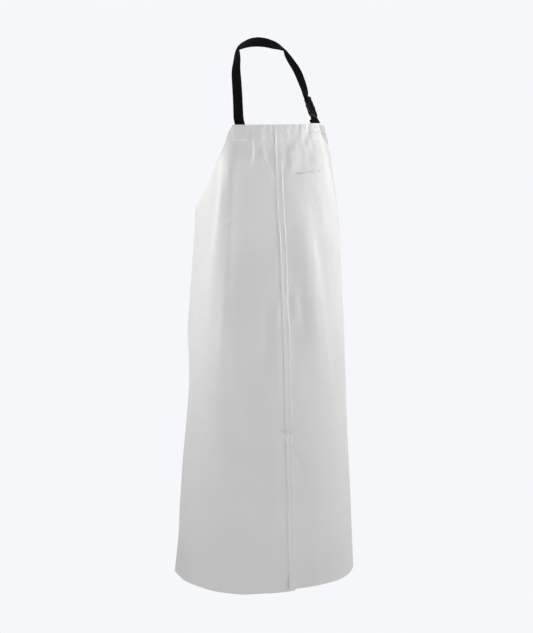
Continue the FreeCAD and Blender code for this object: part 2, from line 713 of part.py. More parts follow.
for prefix, where in (("neck", neck_place), ("waist", waist_place)):
    socket_body(prefix + "_buckle_socket", where)
    plug_body(prefix + "_buckle_plug", where)
    prong_body(prefix + "_buckle_prong_a", where, 1)
    prong_body(prefix + "_buckle_prong_b", where, -1)

doc.recompute()
for obj in doc.Objects:
    if "Invalid" in obj.State or "Error" in obj.State:
        raise RuntimeError("failed: " + obj.Label + " " + str(obj.State))
for obj in PARTS:
    if obj.Shape.isNull() or not obj.Shape.isValid():
        raise RuntimeError("bad shape: " + obj.Label)
    if obj.Shape.Volume <= 0:
        raise RuntimeError("no volume: " + obj.Label)
os.makedirs("parts", exist_ok=True)
for obj in PARTS:
    obj.Shape.exportStep("parts/" + obj.Label + ".step")
    bb = obj.Shape.BoundBox
    print("%-24s vol %9.1f  x %7.1f %7.1f  y %7.1f %7.1f  z %8.1f %8.1f" % (
        obj.Label, obj.Shape.Volume, bb.XMin, bb.XMax, bb.YMin, bb.YMax, bb.ZMin, bb.ZMax))
for prefix, where in (("neck", neck_place), ("waist", waist_place)):
    for side in (1, -1):
        p = where.multVec(V(side * cell("pivot_side"), 0, cell("pivot_height")))
        print(prefix, "pivot", side, [round(v, 3) for v in p])
    r = where.Rotation
    print(prefix, "ez", [round(v, 6) for v in r.multVec(V(0, 0, 1))], "ey", [round(v, 6) for v in r.multVec(V(0, 1, 0))])
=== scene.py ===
import math

import bmesh
import bpy
import numpy as np
from mathutils import Matrix, Vector


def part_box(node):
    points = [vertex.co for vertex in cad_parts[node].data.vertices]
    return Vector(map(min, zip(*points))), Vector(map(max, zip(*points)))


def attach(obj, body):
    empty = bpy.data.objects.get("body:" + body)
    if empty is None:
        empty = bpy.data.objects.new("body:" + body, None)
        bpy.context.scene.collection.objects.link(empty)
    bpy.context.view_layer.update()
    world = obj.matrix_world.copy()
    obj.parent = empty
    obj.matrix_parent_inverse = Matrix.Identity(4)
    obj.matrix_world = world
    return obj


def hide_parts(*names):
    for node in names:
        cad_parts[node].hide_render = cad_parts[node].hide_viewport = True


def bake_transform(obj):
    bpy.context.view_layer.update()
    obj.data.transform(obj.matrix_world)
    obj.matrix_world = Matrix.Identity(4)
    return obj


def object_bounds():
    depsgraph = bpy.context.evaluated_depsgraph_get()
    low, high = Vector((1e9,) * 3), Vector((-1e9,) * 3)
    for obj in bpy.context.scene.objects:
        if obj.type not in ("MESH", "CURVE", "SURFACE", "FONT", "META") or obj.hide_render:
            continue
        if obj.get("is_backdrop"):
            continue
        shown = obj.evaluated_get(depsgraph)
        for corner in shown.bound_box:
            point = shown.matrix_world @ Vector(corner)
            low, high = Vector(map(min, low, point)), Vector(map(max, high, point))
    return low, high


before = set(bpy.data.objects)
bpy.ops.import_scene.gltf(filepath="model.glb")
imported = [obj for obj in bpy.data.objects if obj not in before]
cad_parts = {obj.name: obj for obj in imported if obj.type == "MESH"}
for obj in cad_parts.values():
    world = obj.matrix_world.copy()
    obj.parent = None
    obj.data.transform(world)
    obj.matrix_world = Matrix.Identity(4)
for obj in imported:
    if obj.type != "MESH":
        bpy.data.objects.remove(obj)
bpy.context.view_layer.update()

TOP_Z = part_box("panel_left")[1][2]          # the top hem's height
SHIFT = np.array([0.0, -0.1643, TOP_Z])
LENGTH = TOP_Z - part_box("panel_left")[0][2]  # 1.2 m from hem to hem

# --------------------------------------------------------------------------- cloth surface
LEVELS = [0.0, 0.175, 0.45, 1.0]
BEND_AT = [0.1163, 0.1643, 0.1900, 0.2019]
BEND_LEN = [0.0380, 0.0172, 0.0677, 0.1150]
BEND_TURN = [0.5328, 1.3414, 1.3932, 1.0948]
FRONT_CURVE = [1.5987, 0.9338, 0.9332, 1.2397]
FRONT_STEP = [0.0, 0.0071, 0.0432, 0.0952]
ARM = 0.216 / 1.2
CUT_AT = [0.0, 0.04, 0.08, 0.12, 0.155, ARM]
CUT = [0.1296, 0.1427, 0.1713, 0.2130, 0.2836, 0.3430]
CUT_HEM = 0.3869


def monotone(xs, ys):
    """A monotone cubic through the points, as a function of an array."""
    xs, ys = np.asarray(xs, float), np.asarray(ys, float)
    h, n = np.diff(xs), len(xs)
    d = np.diff(ys) / h
    m = np.zeros(n)
    for i in range(1, n - 1):
        if d[i - 1] * d[i] > 0:
            w1, w2 = 2 * h[i] + h[i - 1], h[i] + 2 * h[i - 1]
            m[i] = (w1 + w2) / (w1 / d[i - 1] + w2 / d[i])

    def end(h0, h1, d0, d1):
        v = ((2 * h0 + h1) * d0 - h0 * d1) / (h0 + h1)
        if v * d0 <= 0:
            return 0.0
        if d0 * d1 <= 0 and abs(v) > abs(3 * d0):
            return 3 * d0
        return v

    m[0], m[-1] = end(h[0], h[1], d[0], d[1]), end(h[-1], h[-2], d[-1], d[-2])

    def f(x):
        x = np.clip(x, xs[0], xs[-1])
        i = np.clip(np.searchsorted(xs, x, side="right") - 1, 0, n - 2)
        u = (x - xs[i]) / h[i]
        return ((1 + 2 * u) * (1 - u) ** 2 * ys[i] + u * (1 - u) ** 2 * h[i] * m[i]
                + u * u * (3 - 2 * u) * ys[i + 1] + u * u * (u - 1) * h[i] * m[i + 1])

    return f


f_at, f_len, f_turn = monotone(LEVELS, BEND_AT), monotone(LEVELS, BEND_LEN), monotone(LEVELS, BEND_TURN)
f_curve, f_step = monotone(LEVELS, FRONT_CURVE), monotone(LEVELS, FRONT_STEP)
f_cut = monotone(CUT_AT, CUT)


def cut_half(drop):
    t = np.asarray(drop, float) / LENGTH
    return np.where(t < ARM, f_cut(t), CUT[-1] + (CUT_HEM - CUT[-1]) * (t - ARM) / (1 - ARM))


# tables of the outer face: every 2.5 mm down, every 2 mm along
GD, GS = 0.0025, 0.002
ND, NS = 481, 216
_t = np.linspace(0, 1, ND)[:, None]
_s = (np.arange(NS) * GS)[None, :]
_A = (f_curve(_t) * _s + f_turn(_t) * 0.5 * (np.tanh((_s - f_at(_t)) / f_len(_t)) - np.tanh(-f_at(_t) / f_len(_t))))
_mid = (_A[:, 1:] + _A[:, :-1]) / 2
_X = np.concatenate([np.zeros((ND, 1)), np.cumsum(np.cos(_mid), 1) * GS], 1)
_Y = np.concatenate([np.zeros((ND, 1)), np.cumsum(np.sin(_mid), 1) * GS], 1) - f_step(_t)


def look_up(table, drop, s):
    r = np.clip(np.asarray(drop) / GD, 0, ND - 1.001)
    c = np.clip(np.abs(s) / GS, 0, NS - 1.001)
    i, j = r.astype(int), c.astype(int)
    fr, fc = r - i, c - j
    return ((table[i, j] * (1 - fr) + table[i + 1, j] * fr) * (1 - fc)
            + (table[i, j + 1] * (1 - fr) + table[i + 1, j + 1] * fr) * fc)


# --------------------------------------------------------------------------- folds
def noise1(x, seed, octaves=3):
    """Smooth one-dimensional noise, about -1 to 1."""
    rng = np.random.default_rng(seed)
    out, amp = np.zeros_like(np.asarray(x, float)), 1.0
    for o in range(octaves):
        k = rng.normal(size=512)
        q = np.asarray(x, float) * 2 ** o + 200.37
        i = np.floor(q).astype(int)
        f = q - i
        f = f * f * (3 - 2 * f)
        out = out + amp * (k[i % 512] * (1 - f) + k[(i + 1) % 512] * f)
        amp *= 0.5
    return out / 1.9


def noise2(x, y, seed, octaves=3):
    """Smooth two-dimensional noise, about -1 to 1."""
    rng = np.random.default_rng(seed)
    x, y = np.broadcast_arrays(np.asarray(x, float), np.asarray(y, float))
    out, amp = np.zeros(x.shape), 1.0
    for o in range(octaves):
        k = rng.normal(size=(128, 128))
        p, q = x * 2 ** o + 50.3, y * 2 ** o + 50.7
        i, j = np.floor(p).astype(int), np.floor(q).astype(int)
        f, g = p - i, q - j
        f, g = f * f * f * (f * (6 * f - 15) + 10), g * g * g * (g * (6 * g - 15) + 10)
        i0, i1, j0, j1 = i % 128, (i + 1) % 128, j % 128, (j + 1) % 128
        out = out + amp * ((k[i0, j0] * (1 - f) + k[i1, j0] * f) * (1 - g) + (k[i0, j1] * (1 - f) + k[i1, j1] * f) * g)
        amp *= 0.5
    return out / 1.7


def step(x, a, b):
    u = np.clip((x - a) / (b - a), 0, 1)
    return u * u * (3 - 2 * u)


def along(s, d, pts, wide, ends=0.25):
    """How near (s, d) lies to a run of points in mm, 1 on it, with soft ends."""
    pts = np.asarray(pts, float) / 1000.0
    best = np.full(np.broadcast(s, d).shape, 1e9)
    pos = np.zeros_like(best)
    right = np.zeros(best.shape, bool)
    seg = np.linalg.norm(np.diff(pts, axis=0), axis=1)
    total, run = seg.sum(), 0.0
    for (a, b), l in zip(zip(pts[:-1], pts[1:]), seg):
        u = np.clip(((s - a[0]) * (b[0] - a[0]) + (d - a[1]) * (b[1] - a[1])) / (l * l), 0, 1)
        r = np.hypot(s - a[0] - u * (b[0] - a[0]), d - a[1] - u * (b[1] - a[1]))
        near = r < best
        pos = np.where(near, (run + u * l) / total, pos)
        right = np.where(near, (b[0] - a[0]) * (d - a[1]) < (b[1] - a[1]) * (s - a[0]), right)
        best = np.where(near, r, best)
        run += l
    soft = step(pos, 0, ends) * (1 - step(pos, 1 - ends, 1)) if ends > 0 else 1.0
    half = np.where(right, wide[1], wide[0]) if isinstance(wide, tuple) else wide
    return np.exp(-((best / (half / 1000.0)) ** 2)) * soft


# each fold: points (along the cloth, drop) in mm, half width mm (or left and right), height mm, softness of its ends
FOLDS = [
    ([(-4, 36), (6, 120), (26, 200), (58, 317), (80, 520), (92, 700)], 38, 9.4, 0.3),
    ([(-112, 12), (-127, 100), (-134, 222), (-143, 346), (-160, 500), (-178, 640)], 15, 4.6, 0.22),
    ([(-80, 20), (-78, 40), (-75, 62), (-76, 104)], 6, 3.0, 0.3),
    ([(-90, -8), (-92, 26), (-95, 60)], 7, -1.8, 0.35),
    ([(-92, 0), (-90, 14), (-90, 24)], 4, 1.6, 0.35),
    ([(-60, 44), (-48, 80), (-27, 128), (-19, 162)], 9, 2.3, 0.35),
    ([(-40, 24), (-35, 62), (-22, 108)], 9, -1.1, 0.35),
    ([(-52, -5), (-50, 22), (-46, 48)], 5, 1.0, 0.3),
    ([(-30, -5), (-29, 20), (-26, 40)], 5, 0.8, 0.3),
    ([(18, 0), (17, 20), (15, 44)], 9, 1.3, 0.35),
    ([(27, 40), (28, 78), (32, 128)], (9, 22), 3.0, 0.36),
    ([(62, -5), (57, 24), (49, 60)], 8, 1.0, 0.3),
    ([(66, 60), (73, 140), (84, 240), (96, 340)], (40, 36), 4.2, 0.3),
    ([(130, 80), (138, 150), (150, 240), (158, 320)], (30, 14), -2.4, 0.3),
    ([(80, -5), (73, 26), (62, 62)], 9, -1.2, 0.3),
    ([(90, 14), (84, 34), (76, 62)], 7, 0.8, 0.3),
    ([(40, 370), (45, 420), (48, 465), (55, 535)], 10, -2.8, 0.35),
    ([(10, 415), (13, 460), (15, 510)], 6, -1.5, 0.35),
    ([(24, 412), (28, 455), (30, 505)], (7, 14), 1.9, 0.35),
    ([(22, 330), (27, 380), (26, 430)], 8, -0.7, 0.35),
    ([(-30, 790), (-14, 798), (6, 812), (36, 869), (50, 900)], 10, -3.2, 0.35),
    ([(-24, 776), (-10, 784), (2, 792)], 5, 1.8, 0.35),
    ([(-20, 772), (10, 788), (40, 830)], 9, 2.4, 0.35),
    ([(60, 210), (72, 250), (78, 300)], 16, 0.5, 0.35),
    ([(76, 250), (84, 320), (95, 414), (117, 610), (141, 755)], (42, 12), 3.6, 0.22),
    ([(84, 380), (100, 520), (122, 690)], 13, -0.6, 0.35),
    ([(120, 552), (132, 622), (144, 700), (154, 780)], 6, 0.6, 0.3),
    ([(111, 556), (123, 640), (137, 735)], 7, -0.3, 0.35),
    ([(-132, 470), (-126, 611), (-118, 760)], 17, 3.0, 0.4),
    ([(-96, 470), (-90, 620), (-86, 780)], 15, -2.2, 0.4),
    ([(-47, 410), (-50, 538), (-57, 650)], 15, -2.8, 0.4),
    ([(-22, 470), (-26, 600), (-30, 760)], 12, 1.8, 0.4),
    ([(-20, 430), (-23, 520)], 8, 1.6, 0.4),
    ([(-100, 700), (-96, 860), (-88, 1010)], 20, -1.6, 0.4),
    ([(-40, 840), (-48, 980), (-52, 1100)], 16, 1.5, 0.4),
    ([(70, 930), (84, 1050), (92, 1160)], 18, 1.6, 0.4),
    ([(-136, 214), (-146, 232), (-158, 256)], 5, 1.0, 0.35),
    ([(-130, 226), (-140, 244), (-150, 262)], 5, -0.9, 0.35),
    ([(-118, 404), (-70, 403), (-14, 405)], 3.5, 0.35, 0.2),
    ([(-112, 413), (-60, 411), (-20, 412)], 3.5, -0.3, 0.2),
    ([(-150, 250), (-144, 278), (-142, 300)], 5, -1.0, 0.3),
]


def folds(s, d):
    """How far the cloth stands out of its plain shape, in metres."""
    s, d = np.broadcast_arrays(np.asarray(s, float), np.asarray(d, float))
    out = np.zeros(s.shape)
    for pts, wide, high, ends in FOLDS:
        out += high * along(s, d, pts, wide, ends)
    # gathers under the top hem, strongest near the straps
    fade = np.exp(-np.clip(d - 0.004, 0, None) / 0.040)
    near = 0.42 + 0.9 * np.exp(-((np.abs(s) - 0.088) / 0.034) ** 2)
    q = s * (1 - 0.9 * d)
    out += 0.95 * fade * near * noise2(q / 0.0105, d / 0.07, 11, 2)
    out += 0.40 * np.exp(-d / 0.016) * noise1(q / 0.0055, 17, 1)
    # fine crumple of the coated cloth
    out += 0.16 * noise2(s / 0.014, d / 0.017, 19, 3)
    out += 0.50 * np.exp(-(d / 0.14) ** 2) * noise2(s / 0.017, d / 0.026, 23, 2)
    out += 0.17 * np.exp(-(d / 0.11) ** 2) * noise2(s / 0.0075, d / 0.020, 29, 2)
    # the layers sewn at the webbing ends keep the cloth flatter there
    flat = (1 - step(np.abs(np.abs(s) - 0.1034), 0.013, 0.033)) * (1 - step(d, 0.034, 0.052))
    out *= 1 - 0.8 * flat
    # slow waves of hanging cloth, longer down than across
    body = step(d, 0.0, 0.10)
    out += 1.8 * body * noise2(s / 0.095, d / 0.36, 5, 2)
    out += 0.42 * body * noise2(s / 0.030, d / 0.13, 8, 2)
    # the free edges behind the wearer's sides swing in and out
    back = step(np.abs(s), 0.235, 0.38) * step(d, 0.27, 0.42)
    out += 7.0 * back * noise1(d / 0.19 + 3.0 * np.sign(s), 21, 2)
    # the hem waves a little
    hem = step(d, 0.95, 1.2)
    out += 2.4 * hem * noise1(s / 0.105, 33, 2)
    return out / 1000.0


_gs = np.arange(-215, 216) * GS
_F = folds(_gs[None, :], (np.arange(ND) * GD)[:, None])


def fold_at(drop, s):
    r = np.clip(np.asarray(drop) / GD, 0, ND - 1.001)
    c = np.clip(np.asarray(s) / GS + 215, 0, 429.999)
    i, j = r.astype(int), c.astype(int)
    fr, fc = r - i, c - j
    return ((_F[i, j] * (1 - fr) + _F[i + 1, j] * fr) * (1 - fc)
            + (_F[i, j + 1] * (1 - fr) + _F[i + 1, j + 1] * fr) * fc)


def pucker(d, seed, pitch):
    """Uneven tightness of a seam down its length, 0 to about 1."""
    return np.clip(0.60 + 0.75 * noise1(d / pitch, seed, 3), 0.05, 1.5)


def seam_relief(s, d):
    """Ridges of the lap seam on the upper panel, in metres."""
    top = step(d, 0.002, 0.03)
    sway_a, sway_b = 0.0006 * noise1(d / 0.06, 61, 3), 0.0009 * noise1(d / 0.07, 63, 3)
    a = (1.15 + 0.15 * step(d, 0.08, 0.12) * (1 - step(d, 0.22, 0.28))) * (1 - 0.75 * step(d, 0.38, 0.50)) * pucker(d, 41, 0.022) * np.exp(-((s + 0.0056 - sway_a) / 0.0019) ** 2)
    b = (0.80 * (0.02 + 0.98 * step(d, 0.095, 0.125)) * pucker(d, 43, 0.028) + 0.38 * step(d, 0.10, 0.16) * (1 - step(d, 0.47, 0.60))) * (1 - 0.75 * np.exp(-((d - 0.455) / 0.026) ** 2)) * np.exp(-((s - 0.0090 - sway_b) / 0.0022) ** 2)
    c = -0.35 * np.exp(-((s - 0.0014) / 0.004) ** 2)
    e = 0.35 * step(d, 0.72, 0.80) * np.exp(-((s + 0.002) / 0.004) ** 2)
    return (a + b + c + e) * top / 1000.0


def patch_relief(s, d):
    """The edges of the sewn-in patches and webbing ends showing through the cloth, in metres."""
    out = np.zeros(np.broadcast(s, d).shape)
    for mid_s, low, high, half in ((0.1034, 0.004, 0.038, 0.019), (-0.1034, 0.004, 0.038, 0.019)):
        u = 1 - step(np.abs(s - mid_s), half - 0.0016, half + 0.0016)
        v = step(d, low - 0.0015, low + 0.0015) * (1 - step(d, high - 0.0016, high + 0.0016))
        out += 0.00050 * u * v
    out += -0.0007 * along(s, d, [(70, 17), (92, 18.5), (117, 19)], 1.6, 0.15)
    return out


def seam_sway(d):
    """The centre seam wanders: it starts towards the wearer's right at the top hem."""
    return -0.0086 + 0.0014 * step(d, -0.02, 0.12) + 0.0072 * step(d, 0.15, 0.31) + 0.0007 * noise1(d / 0.10, 71, 2)


def cloth_point(drop, s, depth=0.0, fold=1.0):
    """Points at a drop and a distance along the cloth, depth inside the outer face (all metres)."""
    drop, s, depth = np.broadcast_arrays(np.asarray(drop, float), np.asarray(s, float), np.asarray(depth, float))
    s = s + seam_sway(drop) * np.exp(-(s / 0.05) ** 2)
    x, y, a = look_up(_X, drop, s), look_up(_Y, drop, s), look_up(_A, drop, s)
    q = depth - fold * fold_at(drop, s)
    x = x - np.sin(a) * q
    y = y + np.cos(a) * q
    x = np.where(s < 0, -x, x)
    return np.stack([x, y, -drop], -1) + SHIFT


def cloth_normal(drop, s):
    a = look_up(_A, np.asarray(drop, float), s)
    return np.stack([np.sign(s) * np.sin(a), -np.cos(a), np.zeros_like(a)], -1)


# --------------------------------------------------------------------------- mesh helpers
def new_object(name, verts, faces, uvs=None, mat=None, sharp=35.0):
    me = bpy.data.meshes.new(name)
    me.from_pydata([tuple(v) for v in verts], [], [tuple(f) for f in faces])
    me.validate()
    if uvs is not None:
        layer = me.uv_layers.new(name="cloth_uv")
        idx = np.empty(len(me.loops), dtype=np.int32)
        me.loops.foreach_get("vertex_index", idx)
        layer.data.foreach_set("uv", np.asarray(uvs, float)[idx].ravel())
    me.polygons.foreach_set("use_smooth", [True] * len(me.polygons))
    if sharp:
        me.set_sharp_from_angle(angle=math.radians(sharp))
    me.update()
    ob = bpy.data.objects.new(name, me)
    bpy.context.scene.collection.objects.link(ob)
    if mat:
        me.materials.append(mat)
    return ob


def fix_normals(ob):
    bm = bmesh.new()
    bm.from_mesh(ob.data)
    bmesh.ops.recalc_face_normals(bm, faces=bm.faces)
    bm.to_mesh(ob.data)
    bm.free()


def cloth_grid(name, drops, s_rows, depth_rows, thick, mat, back=None):
    """A closed thin sheet: s_rows and depth_rows are (rows, columns) arrays."""
    R, C = s_rows.shape
    D = np.asarray(drops, float)
    if D.ndim == 1:
        D = np.repeat(D[:, None], C, 1)
    outer = cloth_point(D, s_rows, depth_rows).reshape(-1, 3)
    inner = cloth_point(D, s_rows, depth_rows + thick).reshape(-1, 3)
    n = R * C
    grid = np.arange(n).reshape(R, C)
    a, b, c, d = grid[:-1, :-1].ravel(), grid[:-1, 1:].ravel(), grid[1:, 1:].ravel(), grid[1:, :-1].ravel()
    faces = [np.stack([a, d, c, b], 1), np.stack([a + n, b + n, c + n, d + n], 1)]
    top, bot = grid[0], grid[-1]
    lef, rig = grid[:, 0], grid[:, -1]
    faces.append(np.stack([top[:-1], top[1:], top[1:] + n, top[:-1] + n], 1))
    faces.append(np.stack([bot[1:], bot[:-1], bot[:-1] + n, bot[1:] + n], 1))
    faces.append(np.stack([lef[1:], lef[:-1], lef[:-1] + n, lef[1:] + n], 1))
    faces.append(np.stack([rig[:-1], rig[1:], rig[1:] + n, rig[:-1] + n], 1))
    faces = np.concatenate(faces)
    uv = np.stack([s_rows.ravel(), -D.ravel()], 1)
    uv = np.concatenate([uv, uv])
    ob = new_object(name, np.concatenate([outer, inner]), faces.tolist(), uv, mat)
    fix_normals(ob)
    if back is not None:
        ob.data.materials.append(back)
        index = np.zeros(len(ob.data.polygons), dtype=np.int32)
        index[(R - 1) * (C - 1):2 * (R - 1) * (C - 1)] = 1
        ob.data.polygons.foreach_set("material_index", index)
    return ob


# --------------------------------------------------------------------------- materials
def nodes_of(name):
    mat = bpy.data.materials.new(name)
    mat.use_nodes = True
    nt = mat.node_tree
    nt.nodes.clear()
    out = nt.nodes.new("ShaderNodeOutputMaterial")
    bsdf = nt.nodes.new("ShaderNodeBsdfPrincipled")
    nt.links.new(bsdf.outputs[0], out.inputs[0])
    return mat, nt, bsdf


def add(nt, kind, **props):
    n = nt.nodes.new(kind)
    for k, v in props.items():
        if k in n.inputs:
            n.inputs[k].default_value = v
        else:
            setattr(n, k, v)
    return n


def ramp(nt, source, stops):
    n = nt.nodes.new("ShaderNodeValToRGB")
    el = n.color_ramp.elements
    while len(el) < len(stops):
        el.new(0.5)
    for e, (p, c) in zip(el, stops):
        e.position = p
        e.color = (*c, 1) if len(c) == 3 else c
    nt.links.new(source, n.inputs[0])
    return n.outputs[0]


def math_node(nt, op, a, b=None, c=None):
    n = nt.nodes.new("ShaderNodeMath")
    n.operation = op
    for k, v in enumerate((a, b, c)):
        if v is None:
            continue
        if isinstance(v, (int, float)):
            n.inputs[k].default_value = v
        else:
            nt.links.new(v, n.inputs[k])
    return n.outputs[0]


def cloth_material(name, base=(0.803, 0.799, 0.779), rough=0.42, mark=False):
    mat, nt, b = nodes_of(name)
    uv = nt.nodes.new("ShaderNodeUVMap")
    uv.uv_map = "cloth_uv"
    sep = nt.nodes.new("ShaderNodeSeparateXYZ")
    nt.links.new(uv.outputs[0], sep.inputs[0])
    tc = nt.nodes.new("ShaderNodeTexCoord")
    # fine woven ground showing through the coating
    wu = math_node(nt, "SINE", math_node(nt, "MULTIPLY", sep.outputs[0], 2 * math.pi / 0.0011))
    wv = math_node(nt, "SINE", math_node(nt, "MULTIPLY", sep.outputs[1], 2 * math.pi / 0.0011))
    weave = math_node(nt, "MULTIPLY", wu, wv)
    grain = add(nt, "ShaderNodeTexNoise", Scale=900.0, Detail=3.0)
    nt.links.new(tc.outputs["Object"], grain.inputs["Vector"])
    soft = add(nt, "ShaderNodeTexNoise", Scale=38.0, Detail=4.0, Roughness=0.55)
    nt.links.new(tc.outputs["Object"], soft.inputs["Vector"])
    cloud = add(nt, "ShaderNodeTexNoise", Scale=7.0, Detail=3.0)
    nt.links.new(tc.outputs["Object"], cloud.inputs["Vector"])
    h = math_node(nt, "MULTIPLY_ADD", weave, 0.10, math_node(nt, "MULTIPLY", grain.outputs[0], 0.5))
    bump1 = add(nt, "ShaderNodeBump", Strength=0.22, Distance=0.00035)
    nt.links.new(h, bump1.inputs["Height"])
    bump2 = add(nt, "ShaderNodeBump", Strength=0.35, Distance=0.0016)
    nt.links.new(soft.outputs[0], bump2.inputs["Height"])
    nt.links.new(bump1.outputs[0], bump2.inputs["Normal"])
    nt.links.new(bump2.outputs[0], b.inputs["Normal"])
    lo = tuple(v * 0.955 for v in base)
    col = ramp(nt, cloud.outputs[0], [(0.3, lo), (0.7, base)])
    mixc = nt.nodes.new("ShaderNodeMix")
    mixc.data_type = "RGBA"
    mixc.blend_type = "MULTIPLY"
    mixc.inputs["Factor"].default_value = 0.35
    nt.links.new(col, mixc.inputs["A"])
    nt.links.new(ramp(nt, grain.outputs[0], [(0.3, (0.86, 0.86, 0.87)), (0.7, (1, 1, 1))]), mixc.inputs["B"])
    final = mixc.outputs["Result"]
    if mark:
        # a row of plain printed dashes, a little worn
        def inside(v, lo, hi):
            return math_node(nt, "MULTIPLY", math_node(nt, "GREATER_THAN", v, lo), math_node(nt, "LESS_THAN", v, hi))
        lean = math_node(nt, "MULTIPLY_ADD", sep.outputs[0], -0.085, sep.outputs[1])
        dashes = inside(sep.outputs[0], 0.044, 0.0625)
        for a, z in ((0.0660, 0.0705), (0.0745, 0.0905), (0.0945, 0.0985), (0.1030, 0.1120)):
            dashes = math_node(nt, "MULTIPLY_ADD", inside(sep.outputs[0], a, z), 0.62, dashes)
        box = math_node(nt, "MULTIPLY", dashes, inside(lean, -0.1292, -0.1240))
        worn = add(nt, "ShaderNodeTexNoise", Scale=160.0, Detail=3.0)
        nt.links.new(tc.outputs["Object"], worn.inputs["Vector"])
        amount = math_node(nt, "MULTIPLY", box, math_node(nt, "MULTIPLY_ADD", worn.outputs[0], 0.85, 0.05))
        print_mix = nt.nodes.new("ShaderNodeMix")
        print_mix.data_type = "RGBA"
        nt.links.new(amount, print_mix.inputs["Factor"])
        nt.links.new(final, print_mix.inputs["A"])
        print_mix.inputs["B"].default_value = (0.36, 0.36, 0.37, 1)
        final = print_mix.outputs["Result"]
    nt.links.new(final, b.inputs["Base Color"])
    r = math_node(nt, "MULTIPLY_ADD", cloud.outputs[0], 0.12, rough - 0.06)
    nt.links.new(r, b.inputs["Roughness"])
    b.inputs["IOR"].default_value = 1.5
    b.inputs["Specular IOR Level"].default_value = 0.5
    return mat


def webbing_material(name):
    mat, nt, b = nodes_of(name)
    uv = nt.nodes.new("ShaderNodeUVMap")
    uv.uv_map = "cloth_uv"
    sep = nt.nodes.new("ShaderNodeSeparateXYZ")
    nt.links.new(uv.outputs[0], sep.inputs[0])
    across, down = sep.outputs[0], sep.outputs[1]
    tri = math_node(nt, "PINGPONG", across, 0.0031)
    v = math_node(nt, "ADD", down, math_node(nt, "MULTIPLY", tri, 0.55))
    ribs = math_node(nt, "SINE", math_node(nt, "MULTIPLY", v, 2 * math.pi / 0.0013))
    cols = math_node(nt, "SINE", math_node(nt, "MULTIPLY", across, 2 * math.pi / 0.00155))
    weave = math_node(nt, "ADD", math_node(nt, "MULTIPLY", ribs, 0.55), math_node(nt, "MULTIPLY", cols, 0.35))
    fuzz = add(nt, "ShaderNodeTexNoise", Scale=2600.0, Detail=2.0)
    tc = nt.nodes.new("ShaderNodeTexCoord")
    nt.links.new(tc.outputs["Object"], fuzz.inputs["Vector"])
    h = math_node(nt, "MULTIPLY_ADD", fuzz.outputs[0], 0.5, weave)
    bump = add(nt, "ShaderNodeBump", Strength=0.8, Distance=0.0004)
    nt.links.new(h, bump.inputs["Height"])
    nt.links.new(bump.outputs[0], b.inputs["Normal"])
    u = math_node(nt, "MULTIPLY_ADD", weave, 0.5, 0.5)
    nt.links.new(ramp(nt, u, [(0.15, (0.0014, 0.0014, 0.0015)), (0.9, (0.0052, 0.0052, 0.0056))]), b.inputs["Base Color"])
    nt.links.new(math_node(nt, "MULTIPLY_ADD", fuzz.outputs[0], 0.15, 0.75), b.inputs["Roughness"])
    b.inputs["Specular IOR Level"].default_value = 0.12
    b.inputs["Sheen Weight"].default_value = 0.02
    b.inputs["Sheen Roughness"].default_value = 0.4
    return mat


def plastic_material(name):
    mat, nt, b = nodes_of(name)
    tc = nt.nodes.new("ShaderNodeTexCoord")
    fine = add(nt, "ShaderNodeTexNoise", Scale=1800.0, Detail=2.0)
    wide = add(nt, "ShaderNodeTexNoise", Scale=120.0, Detail=3.0)
    for n in (fine, wide):
        nt.links.new(tc.outputs["Object"], n.inputs["Vector"])
    bump = add(nt, "ShaderNodeBump", Strength=0.25, Distance=0.00012)
    nt.links.new(fine.outputs[0], bump.inputs["Height"])
    nt.links.new(bump.outputs[0], b.inputs["Normal"])
    nt.links.new(ramp(nt, wide.outputs[0], [(0.3, (0.0035, 0.0035, 0.0038)), (0.75, (0.0070, 0.0070, 0.0076))]), b.inputs["Base Color"])
    nt.links.new(math_node(nt, "MULTIPLY_ADD", wide.outputs[0], 0.14, 0.20), b.inputs["Roughness"])
    b.inputs["Specular IOR Level"].default_value = 0.38
    return mat


def thread_material(name):
    mat, nt, b = nodes_of(name)
    tc = nt.nodes.new("ShaderNodeTexCoord")
    n = add(nt, "ShaderNodeTexNoise", Scale=1500.0, Detail=2.0)
    nt.links.new(tc.outputs["Object"], n.inputs["Vector"])
    nt.links.new(ramp(nt, n.outputs[0], [(0.3, (0.60, 0.60, 0.61)), (0.7, (0.78, 0.78, 0.79))]), b.inputs["Base Color"])
    bump = add(nt, "ShaderNodeBump", Strength=0.5, Distance=0.0001)
    nt.links.new(n.outputs[0], bump.inputs["Height"])
    nt.links.new(bump.outputs[0], b.inputs["Normal"])
    nt.links.new(math_node(nt, "MULTIPLY_ADD", n.outputs[0], 0.2, 0.55), b.inputs["Roughness"])
    return mat


M_CLOTH = cloth_material("coated_cloth_white")
M_FRONT = cloth_material("coated_cloth_white_printed", mark=True)
# the inside's darker grey is partly the uncoated back's own tone and partly painted shade, so the turned-back armhole
# edge reads as shaded
M_INSIDE_AND_PAINTED_SHADE = cloth_material("coated_cloth_inside_and_painted_shade", base=(0.62, 0.617, 0.605), rough=0.66)
M_WEB = webbing_material("webbing_black")
M_PLASTIC = plastic_material("buckle_black")
M_THREAD = thread_material("thread_white")

# --------------------------------------------------------------------------- cloth pieces
CLOTH = 0.0006
LAP = 0.0085
drops = np.unique(np.round(np.concatenate([
    np.arange(0, 0.060, 0.0015), np.arange(0.060, 0.260, 0.0025), np.arange(0.216, 0.217, 0.001),
    np.arange(0.260, LENGTH, 0.004), [LENGTH]]), 5))


def panel_columns(fine_from, W, count=72):
    """Columns along the cloth for each row: fine near the lap, then evenly to the cut edge."""
    near = np.concatenate([np.arange(fine_from, 0.016, 0.0008), np.arange(0.016, 0.118, 0.0022)])
    far = np.linspace(0, 1, count)[None, :]
    rest = 0.118 + far * (W[:, None] - 0.118)
    return np.concatenate([np.repeat(near[None, :], len(W), 0), rest], 1)


